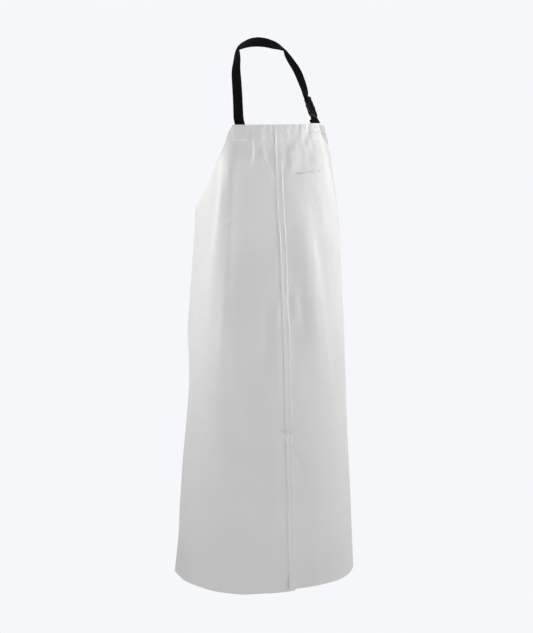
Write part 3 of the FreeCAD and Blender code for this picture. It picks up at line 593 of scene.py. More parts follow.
def cut_edge(d, sign):
    """The cut edge in place: the bib's top corners are turned in a little."""
    if sign < 0:
        return cut_half(d) - 0.0085 * (1 - step(d, -0.006, 0.024))
    return cut_half(d) - 0.0040 * (1 - step(d, -0.006, 0.024)) - 0.0145 * step(d, -0.012, 0.014) * (1 - step(d, 0.024, 0.062))


def hem_drop(s, d, sign):
    """The upper panel's hem rides a little higher at the lap and at the buckle; the under panel hangs lower."""
    low = step(d, LENGTH - 0.10, LENGTH)
    top = 0.0020 * (1 - step(d, 0.0, 0.035)) * step(s, 0.060, 0.092)
    return d - top + low * (sign * 0.0022 * np.exp(-(s / 0.10) ** 2) + 0.0012 * noise1(s / 0.06, 51, 2))


W = cut_edge(drops, 1)
sl = panel_columns(-LAP, W)
dl2 = np.repeat(drops[:, None], sl.shape[1], 1)
# the upper panel rises over the lap; its cut edge stands a little free and gapes at the hem
soft_lap = 0.011 * (1 - step(dl2, 0.085, 0.115))
rise = 0.00075 * step(sl, LAP - 0.001, LAP + 0.0028 + soft_lap)
lip = (0.00022 * np.clip(0.5 + noise1(dl2 / 0.03, 81, 2), 0.0, 1.6) - 0.00012) * (1 - step(sl, -LAP, -LAP + 0.003))
gape = 0.0045 * step(dl2, LENGTH - 0.045, LENGTH) * (1 - step(sl, -LAP, 0.012))
rim = 0.0010 * (1 - step(np.abs(W[:, None] - sl), 0.0, 0.0022)) * step(sl, 0.1, 0.11)
dl = rise - lip - gape - rim - seam_relief(sl, dl2) - patch_relief(sl, dl2)
panel_left = cloth_grid("apron_panel_left", hem_drop(sl, dl2, -1), sl, dl, CLOTH, M_FRONT, M_INSIDE_AND_PAINTED_SHADE)
WR = cut_edge(drops, -1)
sr = -panel_columns(-LAP, WR)
dr2 = np.repeat(drops[:, None], sr.shape[1], 1)
rim = 0.0010 * (1 - step(np.abs(-WR[:, None] - sr), 0.0, 0.0022)) * step(-sr, 0.1, 0.11)
dr = 0.00078 - rim - patch_relief(sr, dr2)
panel_right = cloth_grid("apron_panel_right", hem_drop(sr, dr2, 1), sr, dr, CLOTH, M_CLOTH, M_INSIDE_AND_PAINTED_SHADE)
for ob, node in ((panel_left, "panel_left"), (panel_right, "panel_right")):
    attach(ob, "apron")
    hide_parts(node)


def strip(name, lo, hi, s0, s1, depth, node, cols=10, mat=None, rows=None, shape=None):
    dd = drops if rows is None else np.union1d(drops, rows)
    dd = dd[(dd > lo + 0.0001) & (dd < hi - 0.0001)]
    dd = np.concatenate([[lo], dd, [hi]])
    a, b = s0(dd), s1(dd)
    ss = a[:, None] + (b - a)[:, None] * np.linspace(0, 1, cols)[None, :]
    DD = np.repeat(dd[:, None], cols, 1)
    dep = np.full_like(ss, depth)
    if shape is not None:
        dep = dep + shape(ss, DD)
    ob = cloth_grid(name, DD, ss, dep, CLOTH, mat or M_INSIDE_AND_PAINTED_SHADE)
    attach(ob, "apron")
    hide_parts(node)
    return ob


one = lambda v: (lambda d: np.full_like(d, v))
D2 = 0.0018
EXIT = 0.1034
WEBT = 0.0014
WEB = 0.025
WEB_DEPTH = D2 + CLOTH + 0.0011 + WEBT / 2
PATCH = WEB_DEPTH + WEBT / 2 + 0.0004
WAIST_DROP = 0.238
WAIST_EDGE = float(cut_half(WAIST_DROP))
tape = strip("seam_tape", 0.027, LENGTH, one(-0.012), one(0.012), D2, "centre_seam_tape", 12)
facing = strip("hem_facing", 0.0, 0.025, lambda d: -cut_edge(d, -1) + 0.0015, lambda d: cut_edge(d, 1) - 0.0015, D2, "top_hem_facing", 110)


def roll(d):
    """How far the turned edge of the left armhole shows past the cut edge."""
    return 0.0085 * step(d, -0.004, 0.010) * (1 - step(d, 0.040, 0.078))


# this turned edge shows the inside's darker grey past the cut edge: a sliver of painted shade where the armhole edge
# turns back
arm_l = strip("armhole_turn_left", 0.003, 0.203, lambda d: cut_half(d) - 0.020, lambda d: cut_half(d) - 0.001 + roll(d), D2, "armhole_facing_left", 22,
              shape=lambda s, d: 0.0021 * step(d, 0.030, 0.022) - 0.30 * np.clip(s - cut_half(d) + 0.001, 0, None))
arm_r = strip("armhole_turn_right", 0.027, 0.203, lambda d: -cut_half(d) + 0.001, lambda d: -cut_half(d) + 0.020, D2, "armhole_facing_right", 10)


def neck_tuck(depth):
    """A patch over a webbing end lies down onto the cloth round the webbing."""
    def shape(s, d):
        free = np.maximum(step(np.abs(np.abs(s) - EXIT), 0.0132, 0.0182), step(d, 0.0292, 0.0362))
        under = D2 + CLOTH + 0.0003 - 0.0007 * step(d, 0.0245, 0.030)
        return -(depth - under) * free
    return shape


def waist_tuck(depth, under):
    def shape(s, d):
        free = np.maximum(step(np.abs(d - WAIST_DROP), 0.0128, 0.0158), 1 - step(np.abs(s), WAIST_EDGE - 0.0376, WAIST_EDGE - 0.0332))
        return -(depth - under) * free
    return shape


pat_r = strip("strap_patch_right", 0.003, 0.038, one(-EXIT - 0.019), one(-EXIT + 0.019), PATCH, "neck_patch_right", 30, shape=neck_tuck(PATCH))
pat_l = strip("strap_patch_left", 0.003, 0.038, one(EXIT - 0.019), one(EXIT + 0.019), PATCH + WEBT + 0.00035, "neck_patch_left", 30,
              shape=neck_tuck(PATCH + WEBT + 0.00035))
extra = np.concatenate([np.arange(0.2225, 0.2260, 0.0005), np.arange(0.2505, 0.2540, 0.0005)])
wp_l = strip("waist_patch_inner_left", 0.222, 0.254, one(WAIST_EDGE - 0.038), one(WAIST_EDGE - 0.002), PATCH + 0.0005, "waist_patch_left", 28,
             rows=extra, shape=waist_tuck(PATCH + 0.0005, 0.0013))
wp_r = strip("waist_patch_inner_right", 0.222, 0.254, one(-WAIST_EDGE + 0.002), one(-WAIST_EDGE + 0.038), PATCH + 0.0005, "waist_patch_right", 28,
             rows=extra, shape=waist_tuck(PATCH + 0.0005, 0.0021))

area = float(np.trapezoid(W + LAP, drops)) if hasattr(np, "trapezoid") else float(np.trapz(W + LAP, drops))

# --------------------------------------------------------------------------- webbing
def unit(v):
    return v / np.linalg.norm(v)


def slerp(a, b, f):
    a, b = unit(np.asarray(a, float)), unit(np.asarray(b, float))
    ang = math.acos(max(-1.0, min(1.0, float(a @ b))))
    if ang < 1e-6:
        return a
    return a * (math.sin((1 - f) * ang) / math.sin(ang)) + b * (math.sin(f * ang) / math.sin(ang))


def ease(f):
    f = min(max(f, 0.0), 1.0)
    return f * f * (3 - 2 * f)


def spline(points, count):
    """Evenly spaced points on a smooth curve through the given ones (centripetal Catmull-Rom)."""
    P = np.asarray(points, float)
    P = np.concatenate([[2 * P[0] - P[1]], P, [2 * P[-1] - P[-2]]])
    out = []
    for i in range(1, len(P) - 2):
        p0, p1, p2, p3 = P[i - 1:i + 3]
        t0 = 0.0
        t1 = t0 + max(np.linalg.norm(p1 - p0), 1e-9) ** 0.5
        t2 = t1 + max(np.linalg.norm(p2 - p1), 1e-9) ** 0.5
        t3 = t2 + max(np.linalg.norm(p3 - p2), 1e-9) ** 0.5
        for t in np.linspace(t1, t2, 24, endpoint=False):
            a1 = (t1 - t) / (t1 - t0) * p0 + (t - t0) / (t1 - t0) * p1
            a2 = (t2 - t) / (t2 - t1) * p1 + (t - t1) / (t2 - t1) * p2
            a3 = (t3 - t) / (t3 - t2) * p2 + (t - t2) / (t3 - t2) * p3
            b1 = (t2 - t) / (t2 - t0) * a1 + (t - t0) / (t2 - t0) * a2
            b2 = (t3 - t) / (t3 - t1) * a2 + (t - t1) / (t3 - t1) * a3
            out.append((t2 - t) / (t2 - t1) * b1 + (t - t1) / (t2 - t1) * b2)
    out.append(P[-2])
    out = np.array(out)
    l = np.concatenate([[0], np.cumsum(np.linalg.norm(np.diff(out, axis=0), axis=1))])
    q = np.linspace(0, l[-1], count)
    return np.stack([np.interp(q, l, out[:, k]) for k in range(3)], 1)


NECK_AT = np.array([0.1030, 0.0278, 0.0135]) + SHIFT
NECK_EZ = unit(np.array([-8.0, 27.5, 50.7]))
_lean = math.radians(43.0)
NECK_EX = np.array([math.cos(_lean), math.sin(_lean), 0.0])
NECK_EX = unit(NECK_EX - NECK_EZ * (NECK_EX @ NECK_EZ))
NECK_EY = np.cross(NECK_EZ, NECK_EX)
NECK = (NECK_AT, NECK_EX, NECK_EY, NECK_EZ)
WAIST_AT = np.array([0.027, 0.245, -WAIST_DROP]) + SHIFT
WAIST = (WAIST_AT, np.array([0, 0, -1.0]), np.array([0, -1.0, 0]), np.array([-1.0, 0, 0]))


def at(place, x, y, z):
    o, ex, ey, ez = place
    return o + (ex * x + ey * y + ez * z) / 1000.0


def half_turn(place, z_mid, radius, sign, count=13):
    return [at(place, 0, -radius * math.cos(a), z_mid + sign * radius * math.sin(a))
            for a in np.linspace(0, math.pi, count)]


def webbing(name, points, sides, node, mat=None, width=WEB, thick=WEBT, start_v=0.0, ride="apron", cup=None, first=None, last=None):
    """Flat webbing with rounded selvedges along a run of points; cup bows its middle out along each section."""
    P = np.asarray(points, float)
    n = len(P)
    tan = np.empty_like(P)
    tan[1:-1] = P[2:] - P[:-2]
    tan[0] = P[1] - P[0] if first is None else first
    tan[-1] = P[-1] - P[-2] if last is None else last
    tan /= np.linalg.norm(tan, axis=1)[:, None]
    S = np.asarray(sides, float)
    S = S - tan * (S * tan).sum(1)[:, None]
    S /= np.linalg.norm(S, axis=1)[:, None]
    N = np.cross(S, tan)
    # section: thin middle, a slightly thicker rounded selvedge at each side
    hw, ht = width / 2, thick / 2
    prof = []
    top = [(-hw + 0.0002, 0.55), (-hw + 0.0007, 0.95), (-hw + 0.0016, 1.0), (-hw + 0.0026, 0.86), (-hw * 0.6, 0.88), (-hw * 0.4, 0.90),
           (-hw * 0.2, 0.92), (0, 0.92), (hw * 0.2, 0.92), (hw * 0.4, 0.90), (hw * 0.6, 0.88), (hw - 0.0026, 0.86), (hw - 0.0016, 1.0), (hw - 0.0007, 0.95), (hw - 0.0002, 0.55)]
    prof = [(-hw, 0.0)] + [(u, v * ht) for u, v in top] + [(hw, 0.0)] + [(u, -v * ht) for u, v in reversed(top)]
    m = len(prof)
    prof = np.array(prof)
    V = P[:, None, :] + S[:, None, :] * prof[None, :, 0:1] + N[:, None, :] * prof[None, :, 1:2]
    if cup is not None:
        out = P - (np.array([0, 0.085, 0.095]) + SHIFT)
        sign = np.sign((N * out).sum(1))
        sign = np.where(sign == 0, 1, sign)
        bow = np.asarray(cup, float) * sign
        V = V + N[:, None, :] * (bow[:, None] * (1 - (prof[None, :, 0] / hw) ** 2))[:, :, None]
    lens = np.concatenate([[0], np.cumsum(np.linalg.norm(np.diff(P, axis=0), axis=1))]) + start_v
    uv = np.stack([np.repeat(prof[None, :, 0], n, 0), np.repeat(lens[:, None], m, 1)], -1)
    faces = []
    for i in range(n - 1):
        for j in range(m):
            k = (j + 1) % m
            faces.append((i * m + j, i * m + k, (i + 1) * m + k, (i + 1) * m + j))
    faces.append(tuple(range(m)))
    faces.append(tuple((n - 1) * m + j for j in reversed(range(m))))
    ob = new_object(name, V.reshape(-1, 3), faces, uv.reshape(-1, 2), mat or M_WEB, sharp=60)
    fix_normals(ob)
    if ride:
        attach(ob, ride)
    if node:
        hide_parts(node)
    return ob


NECK_PATH = np.array([(102.8, 16.5, -0.4), (100.8, 26.9, 15.4), (98.1, 37.5, 31.0), (95.4, 47.5, 46.8),
                      (93.1, 56.1, 63.2), (91.4, 63.9, 79.9), (89.5, 72.7, 96.2), (87.2, 82.6, 111.7),
                      (84.7, 93.0, 126.5), (80.7, 104.3, 141.4), (74.8, 117.0, 156.7), (70.1, 129.2, 171.2),
                      (66.1, 139.8, 183.7), (56.3, 149.4, 193.4), (39.7, 157.6, 200.5), (20.3, 163.1, 206.0),
                      (0.0, 164.97, 208.21)]) / 1000.0
SIDE_RIGHT = [(0.95, 0.32, 0.0), (0.93, 0.36, -0.05), (0.90, 0.43, -0.10), (0.87, 0.47, -0.15),
              (0.85, 0.49, -0.17), (0.85, 0.50, -0.18), (0.85, 0.50, -0.19), (0.83, 0.52, -0.22),
              (0.78, 0.58, -0.26), (0.69, 0.66, -0.31), (0.58, 0.72, -0.39), (0.41, 0.75, -0.52),
              (0.20, 0.78, -0.59), (0.07, 0.73, -0.68), (0.0, 0.62, -0.785), (-0.04, 0.44, -0.90),
              (0.0, 0.30, -0.954)]
SIDE_LEFT = [(0.78, 0.59, -0.20), (0.78, 0.59, -0.20), (0.78, 0.59, -0.20), (0.78, 0.59, -0.20),
             (0.80, 0.57, -0.18), (0.89, 0.44, -0.12), (0.95, 0.30, -0.05), (0.97, 0.23, 0.0),
             (0.975, 0.21, 0.05), (0.96, 0.25, 0.11), (0.945, 0.31, 0.08), (0.915, 0.39, -0.08),
             (0.70, 0.68, -0.23), (0.30, 0.84, -0.45), (0.0, 0.67, -0.74), (-0.05, 0.46, -0.89),
             (0.0, 0.30, -0.954)]
_run = np.concatenate([[0], np.cumsum(np.linalg.norm(np.diff(NECK_PATH, axis=0), axis=1))])


def side_table(table):
    parts = [monotone(_run, [row[k] for row in table]) for k in range(3)]
    return lambda l: unit(np.array([float(f(np.array(l))) for f in parts]))


side_right, side_left = side_table(SIDE_RIGHT), side_table(SIDE_LEFT)


def run_at(p):
    """How far along the half route a point of it lies."""
    best = (1e9, 0.0)
    for i in range(len(NECK_PATH) - 1):
        a, b = NECK_PATH[i], NECK_PATH[i + 1]
        u = min(max(float((p - a) @ (b - a) / ((b - a) @ (b - a))), 0.0), 1.0)
        d = np.linalg.norm(p - a - (b - a) * u)
        if d < best[0]:
            best = (d, _run[i] + u * (_run[i + 1] - _run[i]))
    return best[1]


def sewn_run(sign, depth, order):
    pts, sides = [], []
    for drop in order:
        pts.append(cloth_point(drop, sign * EXIT, depth))
        a = cloth_normal(np.array(drop), np.array(sign * EXIT))
        sides.append(np.array([-a[1], a[0], 0]) * (1 if sign > 0 else -1))
    return pts, sides


BAR_MID = 43.0
NECK_WEB = 3.3
# the wearer's right half: from the hem to the nape
pts, sides = sewn_run(-1, WEB_DEPTH, (0.028, 0.020, 0.010, 0.0))
up = spline([pts[-1]] + [np.array([-x, y, z]) + SHIFT for x, y, z in NECK_PATH[1:]], 110)[1:]
for p in up:
    q = p - SHIFT
    w = side_right(run_at(np.array([-q[0], q[1], q[2]])))
    pts.append(p)
    sides.append(np.array([-w[0], w[1], w[2]]))
def cups(points, mirror):
    """The webbing curls a little where it turns over."""
    out = []
    for p in points:
        q = p - SHIFT
        l = run_at(np.array([-q[0] if mirror else q[0], q[1], q[2]]))
        centre, reach = (TURN_RIGHT, 0.020) if mirror else (TURN_LEFT, 0.022)
        out.append(CUP * math.exp(-((l - centre) / reach) ** 2))
    return out


TURN_RIGHT, TURN_LEFT, CUP = float(_run[13]) - 0.006, float(_run[12]) + 0.002, 0.0034
NAPE = np.array([1.0, 0, 0])
strap_a = webbing("neck_strap_right_half", pts, sides, "neck_strap", cup=cups(pts, True), last=NAPE)
# the wearer's left half: from the nape to the plug's ladder bar, with a short tail outside
pts, sides = [], []
last2 = [at(NECK, 0, NECK_WEB, 66.0), at(NECK, 0, NECK_WEB, 58.0)]
back = spline([up[-1]] + [np.array(p) + SHIFT for p in NECK_PATH[-2:4:-1]] + last2, 100)
for p in back:
    l = run_at(p - SHIFT)
    pts.append(p)
    sides.append(slerp(NECK_EX, side_left(l), ease((l - 0.068) / 0.030)))
sides[0] = side_left(_run[-1])
for z in (52.0, 48.5, 46.0):
    pts.append(at(NECK, 0, NECK_WEB, z))
    sides.append(NECK_EX)
for p in reversed(half_turn(NECK, BAR_MID, NECK_WEB, -1)):
    pts.append(p)
    sides.append(NECK_EX)
for y, z in ((-NECK_WEB, 46.0), (-NECK_WEB, 50.0), (-NECK_WEB - 0.15, 56.0), (-NECK_WEB - 0.5, 60.0), (-NECK_WEB - 0.9, 62.0)):
    pts.append(at(NECK, 0, y, z))
    sides.append(NECK_EX)
strap_b = webbing("neck_strap_left_half", pts, sides, "neck_strap", ride=None, start_v=0.33, cup=cups(pts, False), first=NAPE)
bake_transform(strap_b)

# anchor loop
RB = 3.2
tilt = cloth_normal(np.array(0.0), np.array(EXIT))
tilt = np.array([-tilt[1], tilt[0], 0])
pts, sides = [], []
for drop in (0.028, 0.020, 0.010):
    pts.append(cloth_point(drop, EXIT, WEB_DEPTH))
    sides.append(tilt)
legs = []
for side, depth in ((-1, WEB_DEPTH), (1, WEB_DEPTH + WEBT + 0.00035)):
    legs.append(spline([cloth_point(0.004, EXIT, depth), cloth_point(0.001, EXIT, depth),
                        at(NECK, 0, side * RB, -4.5), at(NECK, 0, side * RB, -1.0)], 15))
flat = unit(np.array([1.0, 0.12, 0.0]))
twist = [slerp(tilt, flat, ease((i - 5) / 3.0)) if i < 9 else slerp(flat, NECK_EX, ease((i - 8) / 6.0)) for i in range(15)]
pts += list(legs[0])
sides += twist
for p in half_turn(NECK, 1.5, RB, 1):
    pts.append(p)
    sides.append(NECK_EX)
pts += list(legs[1][::-1])
sides += twist[::-1]
for drop in (0.010, 0.020, 0.028):
    pts.append(cloth_point(drop, EXIT, WEB_DEPTH + WEBT + 0.00035))
    sides.append(tilt)
loop = webbing("neck_anchor_webbing", pts, sides, "neck_anchor_loop")

# waist straps
vertical = np.array([0, 0, -1.0])
for name, sign, node in (("waist_strap_left_web", 1, "waist_strap_left"), ("waist_strap_right_web", -1, "waist_strap_right")):
    ss = [WAIST_EDGE - 0.032, WAIST_EDGE - 0.020, WAIST_EDGE - 0.008, WAIST_EDGE + 0.002]
    pts = [cloth_point(WAIST_DROP, sign * s, WEB_DEPTH) for s in ss]
    tilts = [unit(cloth_point(WAIST_DROP + 0.012, sign * s, WEB_DEPTH, 0) - cloth_point(WAIST_DROP - 0.012, sign * s, WEB_DEPTH, 0)) for s in ss]
    if sign > 0:
        leg = [at(WAIST, 0, -RB, z) for z in (-12.0, -4.0)]
        bend = half_turn(WAIST, 1.5, RB, 1)
        rest = [at(WAIST, 0, RB, z) for z in (-4.0, -14.0, -24.0, -34.0)]
    else:
        leg = [at(WAIST, 0, -NECK_WEB, z) for z in (66.0, 52.0)]
        bend = half_turn(WAIST, BAR_MID, NECK_WEB, -1)
        rest = [at(WAIST, 0, NECK_WEB, 46.0)]
    mid = [np.array([sign * x, y, -1000 * WAIST_DROP]) / 1000 + SHIFT for x, y in ((158, 205), (136, 223.5), (104, 237), (72, 244))]
    route = list(spline([pts[-1]] + mid + leg, 60))
    if sign < 0:
        tail = [at(WAIST, 0, NECK_WEB, 56.0)] + [np.array([x, y, -1000 * WAIST_DROP]) / 1000 + SHIFT for x, y in ((-72, 239.8), (-104, 232), (-127, 223.5))]
        rest += list(spline(tail, 24))
    sides = tilts[:-1] + [slerp(tilts[-1], vertical, min(i / 18.0, 1.0)) for i in range(len(route))]
    pts = pts[:-1] + route + list(bend) + rest
    sides += [vertical] * (len(pts) - len(sides))
    if sign > 0:
        webbing(name, pts, sides, node)
    else:
        wr = webbing(name, pts, sides, node, ride=None)
        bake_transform(wr)

# --------------------------------------------------------------------------- stitches
def stitch_run(name, node, runs):
    """Threads lying on the cloth: each run is (sign, depth, [(s, drop), ...] ends of one stitch)."""
    verts, faces = [], []
    ring, steps, r = 8, 7, 0.00030
    for sign, depth, (s0, d0), (s1, d1) in runs:
        f = np.linspace(0, 1, steps)
        line = cloth_point(d0 + (d1 - d0) * f, sign * (s0 + (s1 - s0) * f), depth - 0.00012 - patch_at(sign * (s0 + (s1 - s0) * f), d0 + (d1 - d0) * f))
        n = cloth_normal(d0 + (d1 - d0) * f, sign * (s0 + (s1 - s0) * f))
        line = line + n * (0.00030 * np.sin(np.pi * f) - 0.00022)[:, None]
        tan = np.gradient(line, axis=0)
        tan /= np.linalg.norm(tan, axis=1)[:, None]
        side = np.cross(tan, n)
        side /= np.linalg.norm(side, axis=1)[:, None]
        base = len(verts)
        for i in range(steps):
            rr = r * (0.55 + 0.45 * math.sin(math.pi * f[i]))
            for k in range(ring):
                a = 2 * math.pi * k / ring
                verts.append(line[i] + (side[i] * math.cos(a) + n[i] * math.sin(a)) * rr)
        for i in range(steps - 1):
            for k in range(ring):
                faces.append((base + i * ring + k, base + i * ring + (k + 1) % ring, base + (i + 1) * ring + (k + 1) % ring, base + (i + 1) * ring + k))
        faces.append(tuple(base + k for k in reversed(range(ring))))
        faces.append(tuple(base + (steps - 1) * ring + k for k in range(ring)))
    ob = new_object(name, verts, faces, None, M_THREAD, 60)
    fix_normals(ob)
    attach(ob, "apron")
    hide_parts(node)
    return ob


def patch_at(s, d):
    return patch_relief(np.asarray(s), np.asarray(d))


def stitch_box(sign, depth, s_mid, d_mid, w, h, pitch=0.004, length=0.0029):
    out = []
    n = int(w / pitch)
    for row in (-h / 2, h / 2):
        for i in range(n):
            c = s_mid + (i - (n - 1) / 2) * pitch
            out.append((sign, depth, (c - length / 2, d_mid + row), (c + length / 2, d_mid + row)))
    m = int((h - 0.003) / pitch)
    for col in (-w / 2 - 0.001, w / 2 + 0.001):
        for i in range(m):
            c = d_mid + (i - (m - 1) / 2) * pitch
            out.append((sign, depth, (s_mid + col, c - length / 2), (s_mid + col, c + length / 2)))
    return out


stitch_run("neck_thread_left", "neck_stitching_left", stitch_box(1, 0.0, EXIT, 0.016, 0.020, 0.014))
stitch_run("neck_thread_right", "neck_stitching_right", stitch_box(-1, 0.00078, EXIT, 0.016, 0.020, 0.014))
stitch_run("waist_thread_left", "waist_stitching_left", stitch_box(1, 0.0, WAIST_EDGE - 0.018, WAIST_DROP, 0.020, 0.018))
stitch_run("waist_thread_right", "waist_stitching_right", stitch_box(-1, 0.00078, WAIST_EDGE - 0.018, WAIST_DROP, 0.020, 0.018))


# --------------------------------------------------------------------------- buckles
def rounded(bm, lo, hi, r, segments=3):
    """A box with rounded edges, in buckle millimetres."""
    out = bmesh.ops.create_cube(bm, size=1.0)
    vs = out["verts"]
    for v in vs:
        for k in range(3):
            v.co[k] = lo[k] + (hi[k] - lo[k]) * (v.co[k] + 0.5)
    edges = list({e for v in vs for e in v.link_edges})
    r = min(r, 0.49 * min(hi[k] - lo[k] for k in range(3)))
    bmesh.ops.bevel(bm, geom=edges, offset=r, segments=segments, affect="EDGES", profile=0.5)


def plate(bm, outline, half, r, segments=2):
    """A flat shape in the buckle's plane, given as (x, z) points, with rounded rims."""
    bottom = [bm.verts.new((x, -half, z)) for x, z in outline]
    top = [bm.verts.new((x, half, z)) for x, z in outline]
    n = len(outline)
    fb, ft = bm.faces.new(bottom), bm.faces.new(list(reversed(top)))
    for i in range(n):
        bm.faces.new((bottom[(i + 1) % n], bottom[i], top[i], top[(i + 1) % n]))
    rim = list(fb.edges) + list(ft.edges)
    bmesh.ops.bevel(bm, geom=rim, offset=r, segments=segments, affect="EDGES", profile=0.5)


def finish_buckle(bm, name, node, where, body):
    bmesh.ops.recalc_face_normals(bm, faces=bm.faces)
    me = bpy.data.meshes.new(name)
    o, ex, ey, ez = where
    for v in bm.verts:
        v.co = Vector(o + (ex * v.co[0] + ey * v.co[1] + ez * v.co[2]) / 1000.0)
    bmesh.ops.recalc_face_normals(bm, faces=bm.faces)
    bm.to_mesh(me)
    bm.free()
    me.polygons.foreach_set("use_smooth", [True] * len(me.polygons))
    me.set_sharp_from_angle(angle=math.radians(40))
    me.materials.append(M_PLASTIC)
    ob = bpy.data.objects.new(name, me)
    bpy.context.scene.collection.objects.link(ob)
    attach(ob, body)
    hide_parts(node)
    return ob


def arc(cx, cz, r, a0, a1, n):
    return [(cx + r * math.cos(math.radians(a0 + (a1 - a0) * i / n)), cz + r * math.sin(math.radians(a0 + (a1 - a0) * i / n))) for i in range(n + 1)]


for prefix, where in (("neck", NECK), ("waist", WAIST)):
    # socket: a shell with side windows, a bar and two rails for the webbing
    bm = bmesh.new()
    for side in (-1, 1):
        y0, y1 = (2.8, 4.7) if side > 0 else (-4.7, -2.8)
        rounded(bm, (-15, y0, 7.4), (15, y1, 30), 0.85)
        rounded(bm, (-9.0, min(side * 4.4, side * 5.0), 13.0), (9.0, max(side * 4.4, side * 5.0), 25.0), 0.28)
        for z in (15.4, 18.2, 21.0):
            rounded(bm, (-7.2, min(side * 4.8, side * 5.25), z), (7.2, max(side * 4.8, side * 5.25), z + 1.2), 0.22)
        x0, x1 = (12.0, 15.0) if side > 0 else (-15.0, -12.0)
        rounded(bm, (x0, -3.4, 7.4), (x1, 3.4, 12.0), 0.7)
        rounded(bm, (x0, -3.4, 24.0), (x1, 3.4, 30.0), 0.7)
        x0, x1 = (13.2, 15.0) if side > 0 else (-15.0, -13.2)
        rounded(bm, (x0, -2.5, 0.0), (x1, 2.5, 9.0), 0.6)
    rounded(bm, (-14.6, -3.0, 7.4), (14.6, 3.0, 9.0), 0.5)
    rounded(bm, (-14.2, -1.8, 0.0), (14.2, 1.8, 3.0), 1.1)
    finish_buckle(bm, prefix + "_socket_moulding", prefix + "_buckle_socket", where, "apron")
    # plug: a shoulder, a guide tongue and a ladder lock
    bm = bmesh.new()
    shoulder = arc(-15.9, 32.0, 1.6, 180, 270, 4) + arc(15.9, 32.0, 1.6, 270, 360, 4) + arc(15.9, 35.0, 1.6, 0, 90, 4) + arc(-15.9, 35.0, 1.6, 90, 180, 4)
    for side in (-1, 1):
        y0, y1 = (2.8, 4.4) if side > 0 else (-4.4, -2.8)
        rounded(bm, (-17.5, y0, 30.4), (17.5, y1, 36.6), 0.75)
        x0, x1 = (12.6, 17.5) if side > 0 else (-17.5, -12.6)
        rounded(bm, (x0, -3.2, 30.6), (x1, 3.2, 36.4), 0.8)
        x0, x1 = (13.2, 17.5) if side > 0 else (-17.5, -13.2)
        rounded(bm, (x0, -3.4, 35.6), (x1, 3.4, 52.8), 2.0)
    rounded(bm, (-6.6, -3.2, 30.6), (6.6, 3.2, 36.4), 0.5)
    rounded(bm, (-17.0, -3.2, 34.7), (17.0, 3.2, 36.6), 0.5)
    rounded(bm, (-1.5, -1.8, 14.6), (1.5, 1.8, 31.4), 0.6)
    rounded(bm, (-14.4, -1.8, 41.5), (14.4, 1.8, 44.5), 1.2)
    rounded(bm, (-14.4, -1.8, 48.5), (14.4, 1.8, 51.5), 1.2)
    finish_buckle(bm, prefix + "_plug_moulding", prefix + "_buckle_plug", where, prefix + "_plug")
    # spring prongs
    for side, letter in ((1, "a"), (-1, "b")):
        bm = bmesh.new()
        px, pz, tip, barb = 9.5, 32.6, 12.6, 15.6
        shape = ([(px - 1.5, pz), (px - 1.5, tip + 0.8), (px - 1.2, tip + 0.2), (px - 0.6, tip), (px + 0.5, tip), (px + 1.0, tip + 0.3),
                  (barb - 0.5, tip + 5.2), (barb, tip + 6.2), (barb, tip + 9.2), (barb - 0.4, tip + 9.6), (px + 1.9, tip + 9.6), (px + 1.5, tip + 10.2), (px + 1.5, pz)])
        shape = [(side * x, z) for x, z in shape]
        if side < 0:
            shape = shape[::-1]
        plate(bm, shape, 2.4, 0.3)
        circle = [(side * px + 1.68 * math.cos(2 * math.pi * k / 20), pz + 1.68 * math.sin(2 * math.pi * k / 20)) for k in range(20)]
        plate(bm, circle, 2.35, 0.25)
        finish_buckle(bm, prefix + "_prong_moulding_" + letter, prefix + "_buckle_prong_" + letter, where, prefix + "_prong_" + letter)

# --------------------------------------------------------------------------- floor, light, camera
lo, hi = (np.array(c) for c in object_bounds())
BG = (0.9216, 0.9301, 0.9647)
world = bpy.data.worlds.new("studio")
bpy.context.scene.world = world
world.use_nodes = True
wn = world.node_tree
wn.nodes.clear()
wout = wn.nodes.new("ShaderNodeOutputWorld")
seen, light = wn.nodes.new("ShaderNodeBackground"), wn.nodes.new("ShaderNodeBackground")
seen.inputs[0].default_value = (*BG, 1)
light.inputs[0].default_value = (1.0, 0.995, 0.985, 1)
light.inputs[1].default_value = 0.02
lp, mix = wn.nodes.new("ShaderNodeLightPath"), wn.nodes.new("ShaderNodeMixShader")
wn.links.new(lp.outputs["Is Camera Ray"], mix.inputs[0])
wn.links.new(light.outputs[0], mix.inputs[1])
wn.links.new(seen.outputs[0], mix.inputs[2])
wn.links.new(mix.outputs[0], wout.inputs[0])

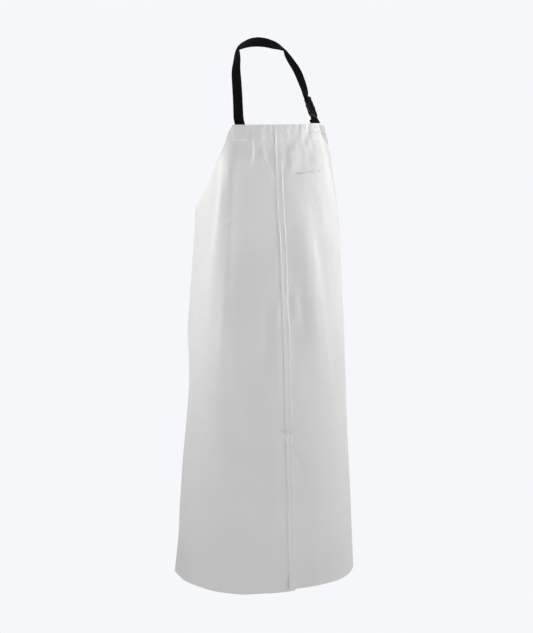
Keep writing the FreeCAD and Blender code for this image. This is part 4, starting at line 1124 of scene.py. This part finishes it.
fm, fnt, fb = nodes_of("studio_floor")
fb.inputs["Base Color"].default_value = (0, 0, 0, 1)
fb.inputs["Roughness"].default_value = 1.0
fb.inputs["Specular IOR Level"].default_value = 0.0
fnoise = add(fnt, "ShaderNodeTexNoise", Scale=3.0)
fnt.links.new(ramp(fnt, fnoise.outputs[0], [(0.3, BG), (0.7, tuple(min(1, c * 1.0004) for c in BG))]), fb.inputs["Emission Color"])
fb.inputs["Emission Strength"].default_value = 1.0
z = lo[2] - 0.45
fl = new_object("floor", [(-60, -60, z), (60, -60, z), (60, 60, z), (-60, 60, z)], [(0, 1, 2, 3)], None, fm, None)
fl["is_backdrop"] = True


def area_light(name, where, to, w, h, power, color=(1, 1, 1)):
    data = bpy.data.lights.new(name, "AREA")
    data.shape = "RECTANGLE"
    data.size, data.size_y = w, h
    data.energy = power
    data.color = color
    ob = bpy.data.objects.new(name, data)
    bpy.context.scene.collection.objects.link(ob)
    ob.location = where
    ob.rotation_euler = (Vector(to) - Vector(where)).to_track_quat("-Z", "Y").to_euler()
    ob.visible_camera = False
    return ob


mid = (lo + hi) / 2
tip = hi[2]
area_light("softbox_left", (-1.05, mid[1] - 0.02, tip - 0.16), (0, mid[1], tip - 0.36), 0.6, 0.6, 4.6)
area_light("softbox_left_back", (-1.05, mid[1] + 0.26, tip - 0.18), (0, mid[1], tip - 0.38), 0.6, 0.6, 2.1)
area_light("softbox_right", (1.16, mid[1] - 0.55, tip - 0.15), (0, mid[1], tip - 0.42), 0.7, 0.7, 10.5)
area_light("top_front", (0.0, -1.5, tip + 1.4), (0, mid[1], tip - 0.5), 1.4, 1.4, 1.6)
area_light("low_front", (-0.8, -2.6, tip - 1.3), (0, mid[1], tip - 1.0), 1.6, 1.6, 11.8)
area_light("behind", (0.12, 3.2, tip + 0.5), (0, mid[1], tip - 0.7), 1.4, 1.4, 22)

cam_data = bpy.data.cameras.new("photo_view")
cam = bpy.data.objects.new("photo_view", cam_data)
bpy.context.scene.collection.objects.link(cam)
target = Vector((-0.03668, SHIFT[1], TOP_Z - 0.48577))
yaw, pitch, dist = math.radians(19.971), math.radians(10.618), 3.0
cam.location = target + dist * Vector((-math.sin(yaw) * math.cos(pitch), -math.cos(yaw) * math.cos(pitch), math.sin(pitch)))
cam.rotation_euler = (target - cam.location).to_track_quat("-Z", "Y").to_euler()
cam_data.sensor_width = 36.0
cam_data.lens = 66.533
cam_data.clip_end = 200
bpy.context.scene.camera = cam
bpy.context.scene.view_settings.view_transform = "Standard"
bpy.context.scene.view_settings.look = "None"
